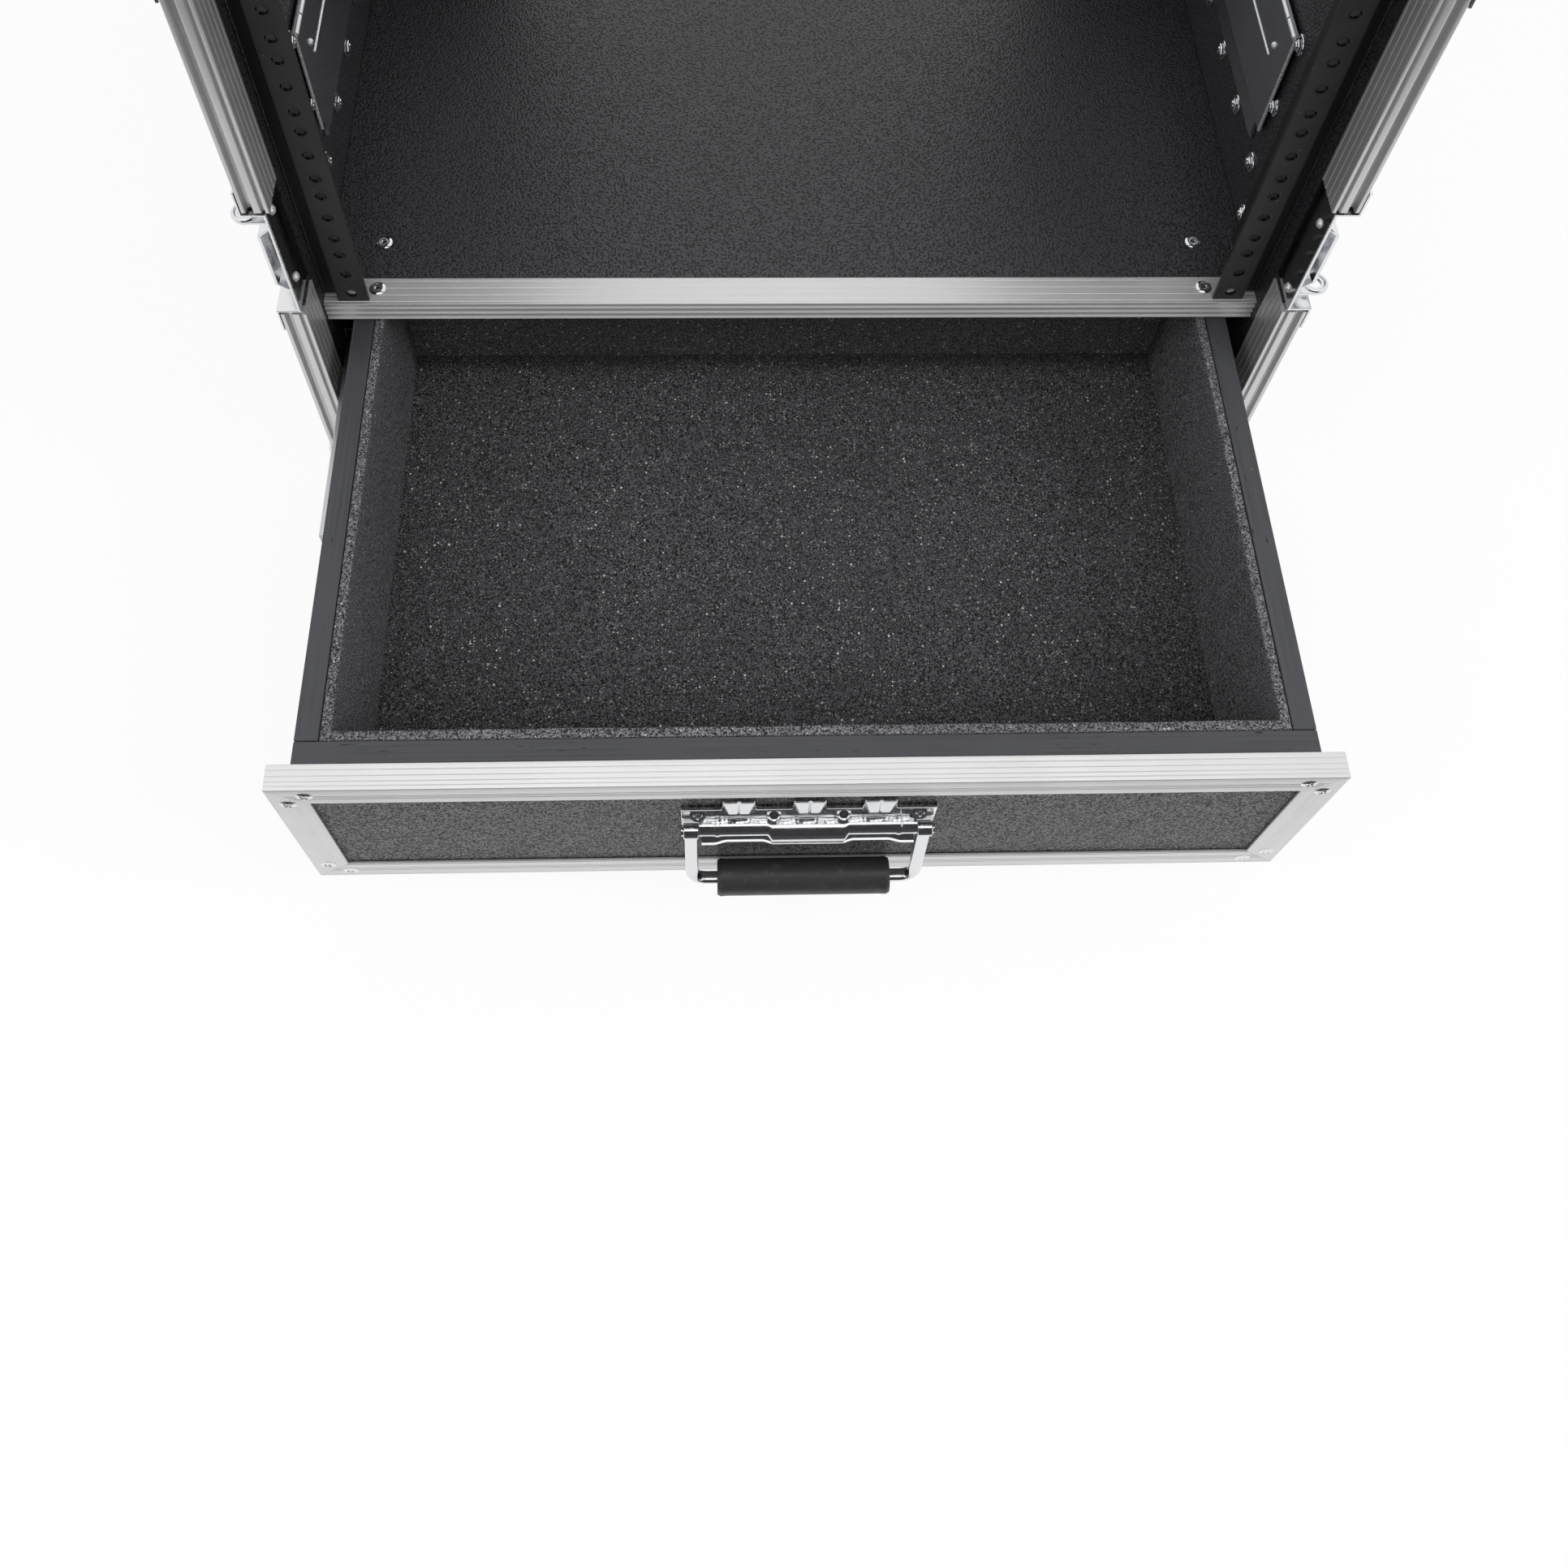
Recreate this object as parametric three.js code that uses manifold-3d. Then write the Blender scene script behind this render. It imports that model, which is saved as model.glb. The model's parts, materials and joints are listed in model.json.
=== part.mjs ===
// Road case: an open 19 inch rack bay above one foam-lined drawer on ball bearing runners.
// Millimetres, +Z up, front towards -Y. The origin is the centre of the bottom panel's underside.
import * as THREE from 'three';
import { mergeVertices } from 'three/addons/utils/BufferGeometryUtils.js';
import Module from 'manifold-3d';

const wasm = await Module();
wasm.setup();

// Driving dimensions of the case
const rackUnit = 44.45;
const rackUnits = 6;
const holeColumnSpan = 465.1;
const railWidth = 16.4;
const battenWidth = 7.15;
const bodyDepth = 367;
const ply = 9.5;
const seat = 0.3;
const skin = 1.5;
const rebate = 0.2;
const angleLeg = 30;
const railSetback = 31;
const headroom = 10;
const overrun = 5;

// Driving dimensions of the drawer
const frontHeight = 124;
const frontDepth = 12.5;
const frontGap = 2.5;
const frontSideGap = 2.7;
const drawerTravel = 260.7;
const runnerSpace = 13.1;
const drawerHeight = 100;
const board = 11;
const bottomBoard = 6;
const foam = 5.3;

// Shelf edge strip
const stripHeight = 12.9;
const stripDepth = 17.6;
const stripProud = 2.2;
const stripGap = 0.8;

// Shallow grooves rolled into the aluminium profiles
const ribWidth = 1.2;
const ribDepth = 0.4;

// Levels and planes worked out from the sizes above
const holeX = holeColumnSpan / 2;
const railInnerX = holeX - railWidth / 2;
const railOuterX = holeX + railWidth / 2;
const innerX = railOuterX + seat + battenWidth + seat;
const panelX = innerX + ply;
const outerX = panelX + seat + skin;
const floorZ = ply;
const frontBottomZ = floorZ + frontGap;
const frontTopZ = frontBottomZ + frontHeight;
const rackZ = frontTopZ + stripGap + stripHeight;
const railLength = rackUnit * rackUnits;
const ceilingZ = rackZ + railLength + headroom;
const topZ = ceilingZ + ply;
const middleZ = topZ / 2;
const lowZ = -seat - skin;
const highZ = topZ + seat + skin;
const frontY = -bodyDepth / 2;
const backY = bodyDepth / 2;
const panelBackY = backY - skin - seat;
const backInnerY = panelBackY - ply;
const railY = frontY + railSetback;
const stripY = railY - stripProud;

// Turns a three.js geometry into a solid that can be joined and cut
function solidOf(geometry) {
  const plain = geometry.clone();
  plain.deleteAttribute('normal');
  plain.deleteAttribute('uv');
  const merged = mergeVertices(plain);
  return new wasm.Manifold(new wasm.Mesh({
    numProp: 3,
    vertProperties: Float32Array.from(merged.attributes.position.array),
    triVerts: Uint32Array.from(merged.index.array),
  }));
}

// Turns a joined or cut solid back into a geometry
function geometryOf(solid) {
  const mesh = solid.getMesh();
  const geometry = new THREE.BufferGeometry();
  geometry.setAttribute('position', new THREE.BufferAttribute(mesh.vertProperties, mesh.numProp));
  geometry.setIndex(new THREE.BufferAttribute(mesh.triVerts, 1));
  geometry.computeVertexNormals();
  return geometry;
}

// A block between two values along each axis, given in either order
function block(x, y, z) {
  const ends = [x, y, z];
  const size = ends.map(([a, b]) => Math.abs(b - a));
  const middle = ends.map(([a, b]) => (a + b) / 2);
  return solidOf(new THREE.BoxGeometry(...size).translate(...middle));
}

// A straight bar of one outline along an axis. Each end may be cut by a function of the outline.
// Outline points are (y, z) along x, (x, z) along y and (x, y) along z.
function bar(points, axis, from, to, cutFrom = () => 0, cutTo = () => 0) {
  const shape = new THREE.Shape(points.map(([a, b]) => new THREE.Vector2(a, b)));
  const geometry = new THREE.ExtrudeGeometry(shape, { depth: 1, steps: 1, bevelEnabled: false });
  const at = geometry.attributes.position;
  for (let i = 0; i < at.count; i += 1) {
    const a = at.getX(i);
    const b = at.getY(i);
    const atStart = axis === 'y' ? at.getZ(i) > 0 : at.getZ(i) <= 0;
    const along = atStart ? from + cutFrom(a, b) : to - cutTo(a, b);
    if (axis === 'x') at.setXYZ(i, along, a, b);
    if (axis === 'y') at.setXYZ(i, a, along, b);
    if (axis === 'z') at.setXYZ(i, a, b, along);
  }
  return solidOf(geometry);
}

// A round rod along an axis, centred on a point
function rod(radius, length, axis, [x, y, z], sides) {
  const geometry = new THREE.CylinderGeometry(radius, radius, length, sides);
  if (axis === 'x') geometry.rotateZ(Math.PI / 2);
  if (axis === 'z') geometry.rotateX(Math.PI / 2);
  return solidOf(geometry.translate(x, y, z));
}

// Points along one straight face of a profile, with evenly spread shallow grooves.
// place(along, depth) gives the outline point that lies depth below the face.
function ribs(from, to, count, place) {
  const points = [];
  const pitch = (to - from) / count;
  const half = Math.sign(pitch) * ribWidth / 2;
  for (let i = 0; i < count; i += 1) {
    const centre = from + pitch * (i + 0.5);
    points.push(place(centre - half, 0), place(centre - half, ribDepth));
    points.push(place(centre + half, ribDepth), place(centre + half, 0));
  }
  return points;
}

const finish = {
  laminate: { color: 0x1b1c1e, roughness: 0.55, metalness: 0 },
  aluminium: { color: 0xb9bbbd, roughness: 0.32, metalness: 1 },
  zinc: { color: 0xc8cacc, roughness: 0.18, metalness: 1 },
  railCoat: { color: 0x2c2b28, roughness: 0.6, metalness: 0.3 },
  batten: { color: 0x141516, roughness: 0.8, metalness: 0 },
  board: { color: 0x2a2b2e, roughness: 0.7, metalness: 0 },
  foam: { color: 0x2b2c2f, roughness: 0.95, metalness: 0 },
  rubber: { color: 0x141414, roughness: 0.6, metalness: 0 },
  steel: { color: 0xa9acae, roughness: 0.3, metalness: 1 },
};

const caseGroup = new THREE.Group();
const drawerGroup = new THREE.Group();

function piece(name, solid, look, parent = caseGroup) {
  const mesh = new THREE.Mesh(geometryOf(solid), new THREE.MeshStandardMaterial(finish[look]));
  mesh.name = name;
  parent.add(mesh);
  return mesh;
}

const sides = [['left', -1], ['right', 1]];

// Pressed corners: a hollow ball over each corner of the case, with a leg along each edge
const corner = {
  ball: 22,
  inset: 13.4,
  sheet: 1.4,
  legLength: 56,
  legWidth: 27,
  ballSides: 24,
  ballRings: 16,
};

function ballSolid(radius, centre) {
  const ball = new THREE.SphereGeometry(radius, corner.ballSides, corner.ballRings);
  return solidOf(ball.translate(...centre));
}

// Centre of the ball, and the block from it outwards over the case's corner.
// s, d and t are the signs of the corner's x, y and z.
function cornerPlace(s, d, t) {
  const outer = [s * outerX, d > 0 ? backY : frontY, t > 0 ? highZ : lowZ];
  const centre = [s, d, t].map((sign, axis) => outer[axis] - sign * corner.inset);
  const far = corner.ball * 2;
  const over = block(...[s, d, t].map((sign, axis) => [centre[axis], centre[axis] + sign * far]));
  return { outer, centre, over };
}

// Rounds the edging off where a ball covers its corner
function underBall(solid, s, d, t) {
  const { centre, over } = cornerPlace(s, d, t);
  return solid.subtract(over.subtract(ballSolid(corner.ball - corner.sheet - seat, centre)));
}

// Front extrusion: it wraps the panel edge, and its face has the groove that a lid's tongue enters
const extrusion = {
  web: 6,
  innerLeg: 22,
  grooveAt: 2.1,
  grooveWidth: 3.7,
  grooveDepth: 3.8,
  grooveSlope: 0.4,
  stepAt: 9.4,
  stepWidth: 1.8,
  stepDepth: 2,
  ribCount: 4,
  bend: 0.5,
};
const innerFace = outerX - innerX + seat + skin;

// Outline of the extrusion as distance in from the outer face and depth behind the front plane
function extrusionOutline(place) {
  const e = extrusion;
  const grooveEnd = e.grooveAt + e.grooveWidth;
  const stepEnd = e.stepAt + e.stepWidth;
  return [
    [0, e.bend],
    [e.bend, 0],
    [e.grooveAt, 0],
    [e.grooveAt + e.grooveSlope, e.grooveDepth],
    [grooveEnd - e.grooveSlope, e.grooveDepth],
    [grooveEnd, 0],
    [e.stepAt, 0],
    [e.stepAt + e.grooveSlope, e.stepDepth],
    [stepEnd - e.grooveSlope, e.stepDepth],
    [stepEnd, 0],
    [innerFace - e.bend, 0],
    [innerFace, e.bend],
    ...ribs(e.stepDepth, e.innerLeg, e.ribCount, (v, d) => [innerFace - d, v]),
    [innerFace, e.innerLeg],
    [innerFace - skin, e.innerLeg],
    [innerFace - skin, e.web],
    [skin, e.web],
    [skin, angleLeg],
    [0, angleLeg],
    ...ribs(angleLeg, e.stepDepth, e.ribCount, (v, d) => [d, v]),
  ].map(([u, v]) => place(u, v));
}

// Latch opening in the front edge, at the middle of each side
const latch = {
  gap: 77,
  pan: 74,
  panDepth: 25,
  wall: 1.2,
  panBack: 0.5,
  flange: 104,
  flangeDepth: 42,
  strapOut: 6,
  strapThick: 1.8,
  strapHalf: 18,
  strapRun: 6,
  strapFront: 3,
  strapWidth: 12,
  tabRise: 27.5,
  tabWidth: 14,
  tabReach: 9,
  tabHole: 3.4,
  tabThick: 1.8,
  roundSides: 24,
};
const latchLow = middleZ - latch.gap / 2;
const latchHigh = middleZ + latch.gap / 2;

for (const [side, s] of sides) {
  const outline = extrusionOutline((u, v) => [s * (outerX - u), frontY + v]);
  const mitre = (x) => outerX - Math.abs(x) + seat;
  const lower = underBall(bar(outline, 'z', lowZ, latchLow, mitre), s, -1, -1);
  const upper = underBall(bar(outline, 'z', latchHigh, highZ, undefined, mitre), s, -1, 1);
  piece(`front_extrusion_${side}_lower`, lower, 'aluminium');
  piece(`front_extrusion_${side}_upper`, upper, 'aluminium');
}
for (const [level, edge, inward] of [['bottom', lowZ, 1], ['top', highZ, -1]]) {
  const outline = extrusionOutline((u, v) => [frontY + v, edge + inward * u]);
  const mitre = (y, z) => Math.abs(z - edge) + seat;
  const whole = bar(outline, 'x', -outerX, outerX, mitre, mitre);
  const solid = underBall(underBall(whole, -1, -1, -inward), 1, -1, -inward);
  piece(`front_extrusion_${level}`, solid, 'aluminium');
}

// Side handle: a pressed dish let into the side panel, hinge barrel at its top
const dish = {
  length: 151,
  height: 66,
  proud: 2.5,
  wall: 1.2,
  boltPitchY: 44,
  boltPitchZ: 42.5,
  columns: 5,
  rows: 3,
  margin: 9,
  rise: 8,
};
dish.back = innerX - dish.proud;
dish.flangeLength = dish.boltPitchY * (dish.columns - 1) + dish.margin * 2;
dish.flangeHeight = dish.boltPitchZ * (dish.rows - 1) + dish.margin * 2;
dish.z = middleZ + dish.rise;
dish.face = panelX + seat + dish.wall;

// Panels. The front edges stop behind the extrusions, and the sides take the dishes. Each outer
// face is a rebate lower under the aluminium edging than in the field that the edging frames.
const panelFrontY = frontY + extrusion.web + seat;
const cutRoom = seat + seat;
const fieldX = outerX - angleLeg - seat;
const fieldY = [frontY + angleLeg + seat, backY - angleLeg - seat];
const fieldZ = [lowZ + angleLeg + seat, highZ - angleLeg - seat];
for (const [side, s] of sides) {
  const handleHole = block(
    [s * (innerX - overrun), s * (panelX + overrun)],
    [-dish.length / 2 - cutRoom, dish.length / 2 + cutRoom],
    [dish.z - dish.height / 2 - cutRoom, dish.z + dish.height / 2 + cutRoom],
  );
  const latchHole = block(
    [s * (innerX - overrun), s * (panelX + overrun)],
    [panelFrontY - overrun, frontY + latch.panDepth + cutRoom],
    [middleZ - latch.pan / 2 - cutRoom, middleZ + latch.pan / 2 + cutRoom],
  );
  const edged = block([s * innerX, s * (panelX - rebate)], [panelFrontY, panelBackY], [0, topZ]);
  const panel = edged.add(block([s * innerX, s * panelX], fieldY, fieldZ));
  piece(`side_panel_${side}`, panel.subtract(handleHole).subtract(latchHole), 'laminate');
}
const betweenX = innerX - seat;
const panelSpanX = [-betweenX, betweenX];
const panelSpanY = [panelFrontY, panelBackY];
const fieldSpanX = [-fieldX, fieldX];
const bottomPanel = block(panelSpanX, panelSpanY, [rebate, floorZ]);
piece('bottom_panel', bottomPanel.add(block(fieldSpanX, fieldY, [0, floorZ])), 'laminate');
const topPanel = block(panelSpanX, panelSpanY, [ceilingZ, topZ - rebate]);
piece('top_panel', topPanel.add(block(fieldSpanX, fieldY, [ceilingZ, topZ])), 'laminate');
const backSpanZ = [floorZ + seat, ceilingZ - seat];
const backPanel = block(panelSpanX, [backInnerY, panelBackY - rebate], backSpanZ);
piece('back_panel', backPanel.add(block(fieldSpanX, [backInnerY, panelBackY], fieldZ)), 'laminate');

// Shelf with its ribbed edge strip
const shelfTopZ = rackZ - skin - seat;
const shelfFrontY = stripY + skin + seat;
const shelfSpanY = [shelfFrontY, backInnerY - seat];
piece('shelf_panel', block(panelSpanX, shelfSpanY, [shelfTopZ - ply, shelfTopZ]), 'laminate');
const stripRibs = 3;
const stripOutline = [
  [stripY, rackZ - stripHeight],
  [stripY + skin, rackZ - stripHeight],
  [stripY + skin, rackZ - skin],
  [stripY + stripDepth, rackZ - skin],
  [stripY + stripDepth, rackZ],
  ...ribs(stripY + stripDepth, stripY, stripRibs, (y, d) => [y, rackZ - d]),
  [stripY, rackZ],
  ...ribs(rackZ, rackZ - stripHeight, stripRibs, (z, d) => [stripY + d, z]),
];
piece('shelf_edge_strip', bar(stripOutline, 'x', -betweenX, betweenX), 'aluminium');

// Edge angles along the depth, each round one long edge of the case
const angleRibs = 4;
for (const [side, s] of sides) {
  for (const [level, edge, inward] of [['bottom', lowZ, 1], ['top', highZ, -1]]) {
    const outline = [
      [0, 0],
      ...ribs(0, angleLeg, angleRibs, (u, d) => [u, d]),
      [angleLeg, 0],
      [angleLeg, skin],
      [skin, skin],
      [skin, angleLeg],
      [0, angleLeg],
      ...ribs(angleLeg, 0, angleRibs, (w, d) => [d, w]),
    ].map(([u, w]) => [s * (outerX - u), edge + inward * w]);
    piece(`edge_angle_${level}_${side}`, bar(outline, 'y', ...fieldY), 'aluminium');
  }
}

// Edge frame round the back panel
const frameRing = block([-outerX, outerX], [backY - angleLeg, backY], [lowZ, highZ]);
const frameHollow = block(
  [-panelX - seat, panelX + seat],
  [backY - angleLeg - overrun, backY - skin],
  [-seat, topZ + seat],
);
const frameWindow = block(
  [-outerX + angleLeg, outerX - angleLeg],
  [backY - overrun, backY + overrun],
  [lowZ + angleLeg, highZ - angleLeg],
);
let backFrame = frameRing.subtract(frameHollow).subtract(frameWindow);
for (const s of [-1, 1]) {
  for (const t of [-1, 1]) backFrame = underBall(backFrame, s, 1, t);
}
piece('back_edge_frame', backFrame, 'aluminium');

// The eight corners. Those at the front end flat at the front plane, where a lid closes on them.
const core = block(
  [-outerX - seat, outerX + seat],
  [frontY - seat, backY + seat],
  [lowZ - seat, highZ + seat],
);
const reach = corner.sheet + seat;
const ahead = block(
  [-outerX - corner.ball, outerX + corner.ball],
  [frontY, frontY - corner.ball],
  [lowZ - corner.ball, highZ + corner.ball],
);
for (const [side, s] of sides) {
  for (const [level, t] of [['bottom', -1], ['top', 1]]) {
    for (const [end, d] of [['front', -1], ['back', 1]]) {
      const { outer, centre, over } = cornerPlace(s, d, t);
      const signs = [s, d, t];
      const legs = [0, 1, 2].map((long) => block(...signs.map((sign, axis) => {
        const back = axis === long ? corner.legLength : corner.legWidth;
        return [outer[axis] + sign * reach, outer[axis] - sign * back];
      })));
      const sheets = legs[0].add(legs[1]).add(legs[2]).subtract(over);
      const hollow = ballSolid(corner.ball - corner.sheet, centre);
      const body = ballSolid(corner.ball, centre).add(sheets);
      let shell = body.subtract(core.subtract(over)).subtract(hollow);
      if (end === 'front') shell = shell.subtract(ahead);
      piece(`corner_${end}_${level}_${side}`, shell, 'zinc');
    }
  }
}

// Rack rails with holes at the standard pitch, and the battens that carry them
const rail = {
  thick: 2,
  flange: 22,
  holeRadius: 3,
  holeSides: 10,
  firstHole: 6.35,
  middleHole: 22.225,
  lastHole: 38.1,
  flangeBehind: 3,
  battenFoot: 2,
  battenBehind: 4,
  battenDepth: 36,
};
for (const [side, s] of sides) {
  let body = bar([
    [railInnerX, railY],
    [railOuterX, railY],
    [railOuterX, railY + rail.flange],
    [railOuterX - rail.thick, railY + rail.flange],
    [railOuterX - rail.thick, railY + rail.thick],
    [railInnerX, railY + rail.thick],
  ].map(([x, y]) => [s * x, y]), 'z', rackZ + seat, rackZ + railLength);
  for (let unit = 0; unit < rackUnits; unit += 1) {
    for (const hole of [rail.firstHole, rail.middleHole, rail.lastHole]) {
      const centre = [s * holeX, railY, rackZ + unit * rackUnit + hole];
      body = body.subtract(rod(rail.holeRadius, rail.thick + overrun * 2, 'y', centre, rail.holeSides));
    }
  }
  piece(`rack_rail_${side}`, body, 'railCoat');
  const battenX = [s * (railOuterX + seat), s * (innerX - seat)];
  const battenFrontY = railY + rail.battenBehind;
  const batten = block(
    battenX,
    [battenFrontY, battenFrontY + rail.battenDepth],
    [rackZ + rail.battenFoot, rackZ + railLength],
  );
  piece(`rail_batten_${side}`, batten, 'batten');
}

// Half latch dishes in the front edge, each with keeper strap and padlock tab
const panX = innerX + latch.panBack;
const flangeOverX = outerX + seat;
for (const [side, s] of sides) {
  const halfPan = latch.pan / 2;
  const panFrontY = frontY;
  const panRearY = frontY + latch.panDepth;
  const span = (low, high) => [s * low, s * high];
  const tall = [middleZ - halfPan, middleZ + halfPan];
  const outside = block(span(panX, flangeOverX + latch.wall), [panFrontY, panRearY], tall);
  const inside = block(
    span(panX + latch.wall, flangeOverX + overrun),
    [panFrontY - overrun, panRearY - latch.wall],
    [middleZ - halfPan + latch.wall, middleZ + halfPan - latch.wall],
  );
  const flangeTall = [middleZ - latch.flange / 2, middleZ + latch.flange / 2];
  const overLeg = block(
    span(flangeOverX, flangeOverX + latch.wall),
    [frontY, frontY + angleLeg + seat + latch.wall],
    flangeTall,
  );
  const step = block(
    span(panelX + seat, flangeOverX + latch.wall),
    [frontY + angleLeg + seat, frontY + angleLeg + seat + latch.wall],
    flangeTall,
  );
  const onPanel = block(
    span(panelX + seat, panelX + seat + latch.wall),
    [frontY + angleLeg + seat, frontY + latch.flangeDepth],
    flangeTall,
  );
  let part = outside.add(overLeg).add(step).add(onPanel).subtract(inside);
  const base = panX + latch.wall / 2;
  const ridge = panX + latch.wall + latch.strapOut;
  const run = latch.strapHalf + latch.strapRun;
  const strap = [
    [base, run + latch.strapThick],
    [ridge + latch.strapThick, latch.strapHalf],
    [ridge + latch.strapThick, -latch.strapHalf],
    [base, -run - latch.strapThick],
    [base, -run],
    [ridge, -latch.strapHalf],
    [ridge, latch.strapHalf],
    [base, run],
  ].map(([x, z]) => [s * x, middleZ + z]);
  const strapY = frontY + latch.strapFront;
  part = part.add(bar(strap, 'y', strapY, strapY + latch.strapWidth));
  const tabZ = middleZ - s * latch.tabRise;
  const tabLevels = [tabZ - latch.tabThick / 2, tabZ + latch.tabThick / 2];
  const tabY = strapY + latch.tabWidth / 2;
  const tabEnd = outerX + latch.tabReach - latch.tabWidth / 2;
  const tongue = block(span(base, tabEnd), [strapY, strapY + latch.tabWidth], tabLevels);
  const at = [s * tabEnd, tabY, tabZ];
  const round = rod(latch.tabWidth / 2, latch.tabThick, 'z', at, latch.roundSides);
  const hole = rod(latch.tabHole, latch.tabThick + overrun, 'z', at, latch.roundSides);
  part = part.add(tongue).add(round).subtract(hole);
  piece(`latch_keeper_${side}`, part, 'zinc');
}

// Bail handles: a bent rod whose ends turn in a barrel, with a rubber grip on its bar
const bail = {
  rodRadius: 3.5,
  width: 119,
  bend: 9,
  shoulder: 5,
  pinLength: 8,
  barrelRadius: 6.2,
  barrelHalf: 50,
  runningGap: 0.4,
  gripRadius: 9.3,
  gripLength: 86,
  steps: 54,
  sides: 8,
  roundSides: 20,
};
const armX = bail.width / 2 - bail.rodRadius;

// A quarter bend between two straight runs
function bend(from, corner, to) {
  return new THREE.QuadraticBezierCurve3(from, corner, to);
}

// The bail hangs from the origin down -Z, its axle along X
function bailSolid(armLength) {
  const at = (x, z) => new THREE.Vector3(x, 0, z);
  const pinX = bail.barrelHalf - bail.pinLength;
  const corners = [-1, 1].map((s) => ({
    pin: at(s * pinX, 0),
    turn: at(s * (armX - bail.shoulder), 0),
    top: at(s * armX, 0),
    arm: at(s * armX, -bail.shoulder),
    low: at(s * armX, bail.bend - armLength),
    foot: at(s * armX, -armLength),
    barEnd: at(s * (armX - bail.bend), -armLength),
  }));
  const [l, r] = corners;
  const path = new THREE.CurvePath();
  path.add(new THREE.LineCurve3(l.pin, l.turn));
  path.add(bend(l.turn, l.top, l.arm));
  path.add(new THREE.LineCurve3(l.arm, l.low));
  path.add(bend(l.low, l.foot, l.barEnd));
  path.add(new THREE.LineCurve3(l.barEnd, r.barEnd));
  path.add(bend(r.barEnd, r.foot, r.low));
  path.add(new THREE.LineCurve3(r.low, r.arm));
  path.add(bend(r.arm, r.top, r.turn));
  path.add(new THREE.LineCurve3(r.turn, r.pin));
  const section = new THREE.Shape();
  for (let i = 0; i < bail.sides; i += 1) {
    const turn = (i / bail.sides) * Math.PI * 2;
    const point = [Math.cos(turn) * bail.rodRadius, Math.sin(turn) * bail.rodRadius];
    if (i === 0) section.moveTo(...point);
    else section.lineTo(...point);
  }
  section.closePath();
  const tube = { extrudePath: path, steps: bail.steps, bevelEnabled: false };
  return solidOf(new THREE.ExtrudeGeometry(section, tube));
}

function gripSolid(armLength) {
  const centre = [0, 0, -armLength];
  const bore = rod(bail.rodRadius + seat, bail.gripLength + overrun, 'x', centre, bail.roundSides);
  return rod(bail.gripRadius, bail.gripLength, 'x', centre, bail.roundSides).subtract(bore);
}

// Barrel with a bore at each end for the bail's pins, its axle along X at the origin
function barrelSolid() {
  let barrel = rod(bail.barrelRadius, bail.barrelHalf * 2, 'x', [0, 0, 0], bail.roundSides);
  const depth = bail.pinLength + bail.runningGap;
  const bore = bail.rodRadius + bail.runningGap;
  for (const s of [-1, 1]) {
    const middle = s * (bail.barrelHalf + overrun / 2 - depth / 2);
    barrel = barrel.subtract(rod(bore, depth + overrun, 'x', [middle, 0, 0], bail.roundSides));
  }
  return barrel;
}

function placed(solid, matrix) {
  return solidOf(geometryOf(solid).applyMatrix4(matrix));
}

// Side handle dishes, bails and grips
const sideHandle = {
  axleDrop: 9,
  axleOut: 6.5,
  gripLift: 3,
};
const trayX = dish.back + dish.wall;
const sideAxleX = trayX + sideHandle.axleOut;
const sideAxleZ = dish.z + dish.height / 2 - sideHandle.axleDrop;
const sideGripX = trayX + seat * 2 + bail.gripRadius;
const sideDrop = sideAxleZ - (dish.z - dish.height / 2 + sideHandle.gripLift + bail.gripRadius);
const sideArm = Math.hypot(sideDrop, sideGripX - sideAxleX);
const sideTilt = Math.asin((sideGripX - sideAxleX) / sideArm);
for (const [side, s] of sides) {
  const span = (low, high) => [s * low, s * high];
  const hollow = block(
    span(trayX, dish.face + overrun),
    [-dish.length / 2 + dish.wall, dish.length / 2 - dish.wall],
    [dish.z - dish.height / 2 + dish.wall, dish.z + dish.height / 2 - dish.wall],
  );
  const tray = block(
    span(dish.back, dish.face),
    [-dish.length / 2, dish.length / 2],
    [dish.z - dish.height / 2, dish.z + dish.height / 2],
  );
  const flange = block(
    span(panelX + seat, dish.face),
    [-dish.flangeLength / 2, dish.flangeLength / 2],
    [dish.z - dish.flangeHeight / 2, dish.z + dish.flangeHeight / 2],
  );
  const hang = new THREE.Matrix4().makeRotationZ(-s * Math.PI / 2);
  const shift = new THREE.Matrix4().makeTranslation(s * sideAxleX, 0, sideAxleZ);
  const place = shift.clone().multiply(hang);
  const rib = block(
    span(dish.back + dish.wall / 2, sideAxleX),
    [-bail.barrelHalf, bail.barrelHalf],
    [sideAxleZ + bail.rodRadius + bail.runningGap * 2, sideAxleZ + bail.barrelRadius],
  );
  const body = tray.add(flange).subtract(hollow).add(placed(barrelSolid(), place)).add(rib);
  piece(`handle_dish_${side}`, body, 'zinc');
  const handle = new THREE.Group();
  handle.position.set(s * sideAxleX, 0, sideAxleZ);
  handle.rotation.set(0, -s * sideTilt, 0);
  const turned = new THREE.Group();
  turned.rotation.z = -s * Math.PI / 2;
  handle.add(turned);
  caseGroup.add(handle);
  piece(`side_handle_bail_${side}`, bailSolid(sideArm), 'zinc', turned);
  piece(`side_handle_grip_${side}`, gripSolid(sideArm), 'rubber', turned);
}

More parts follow.
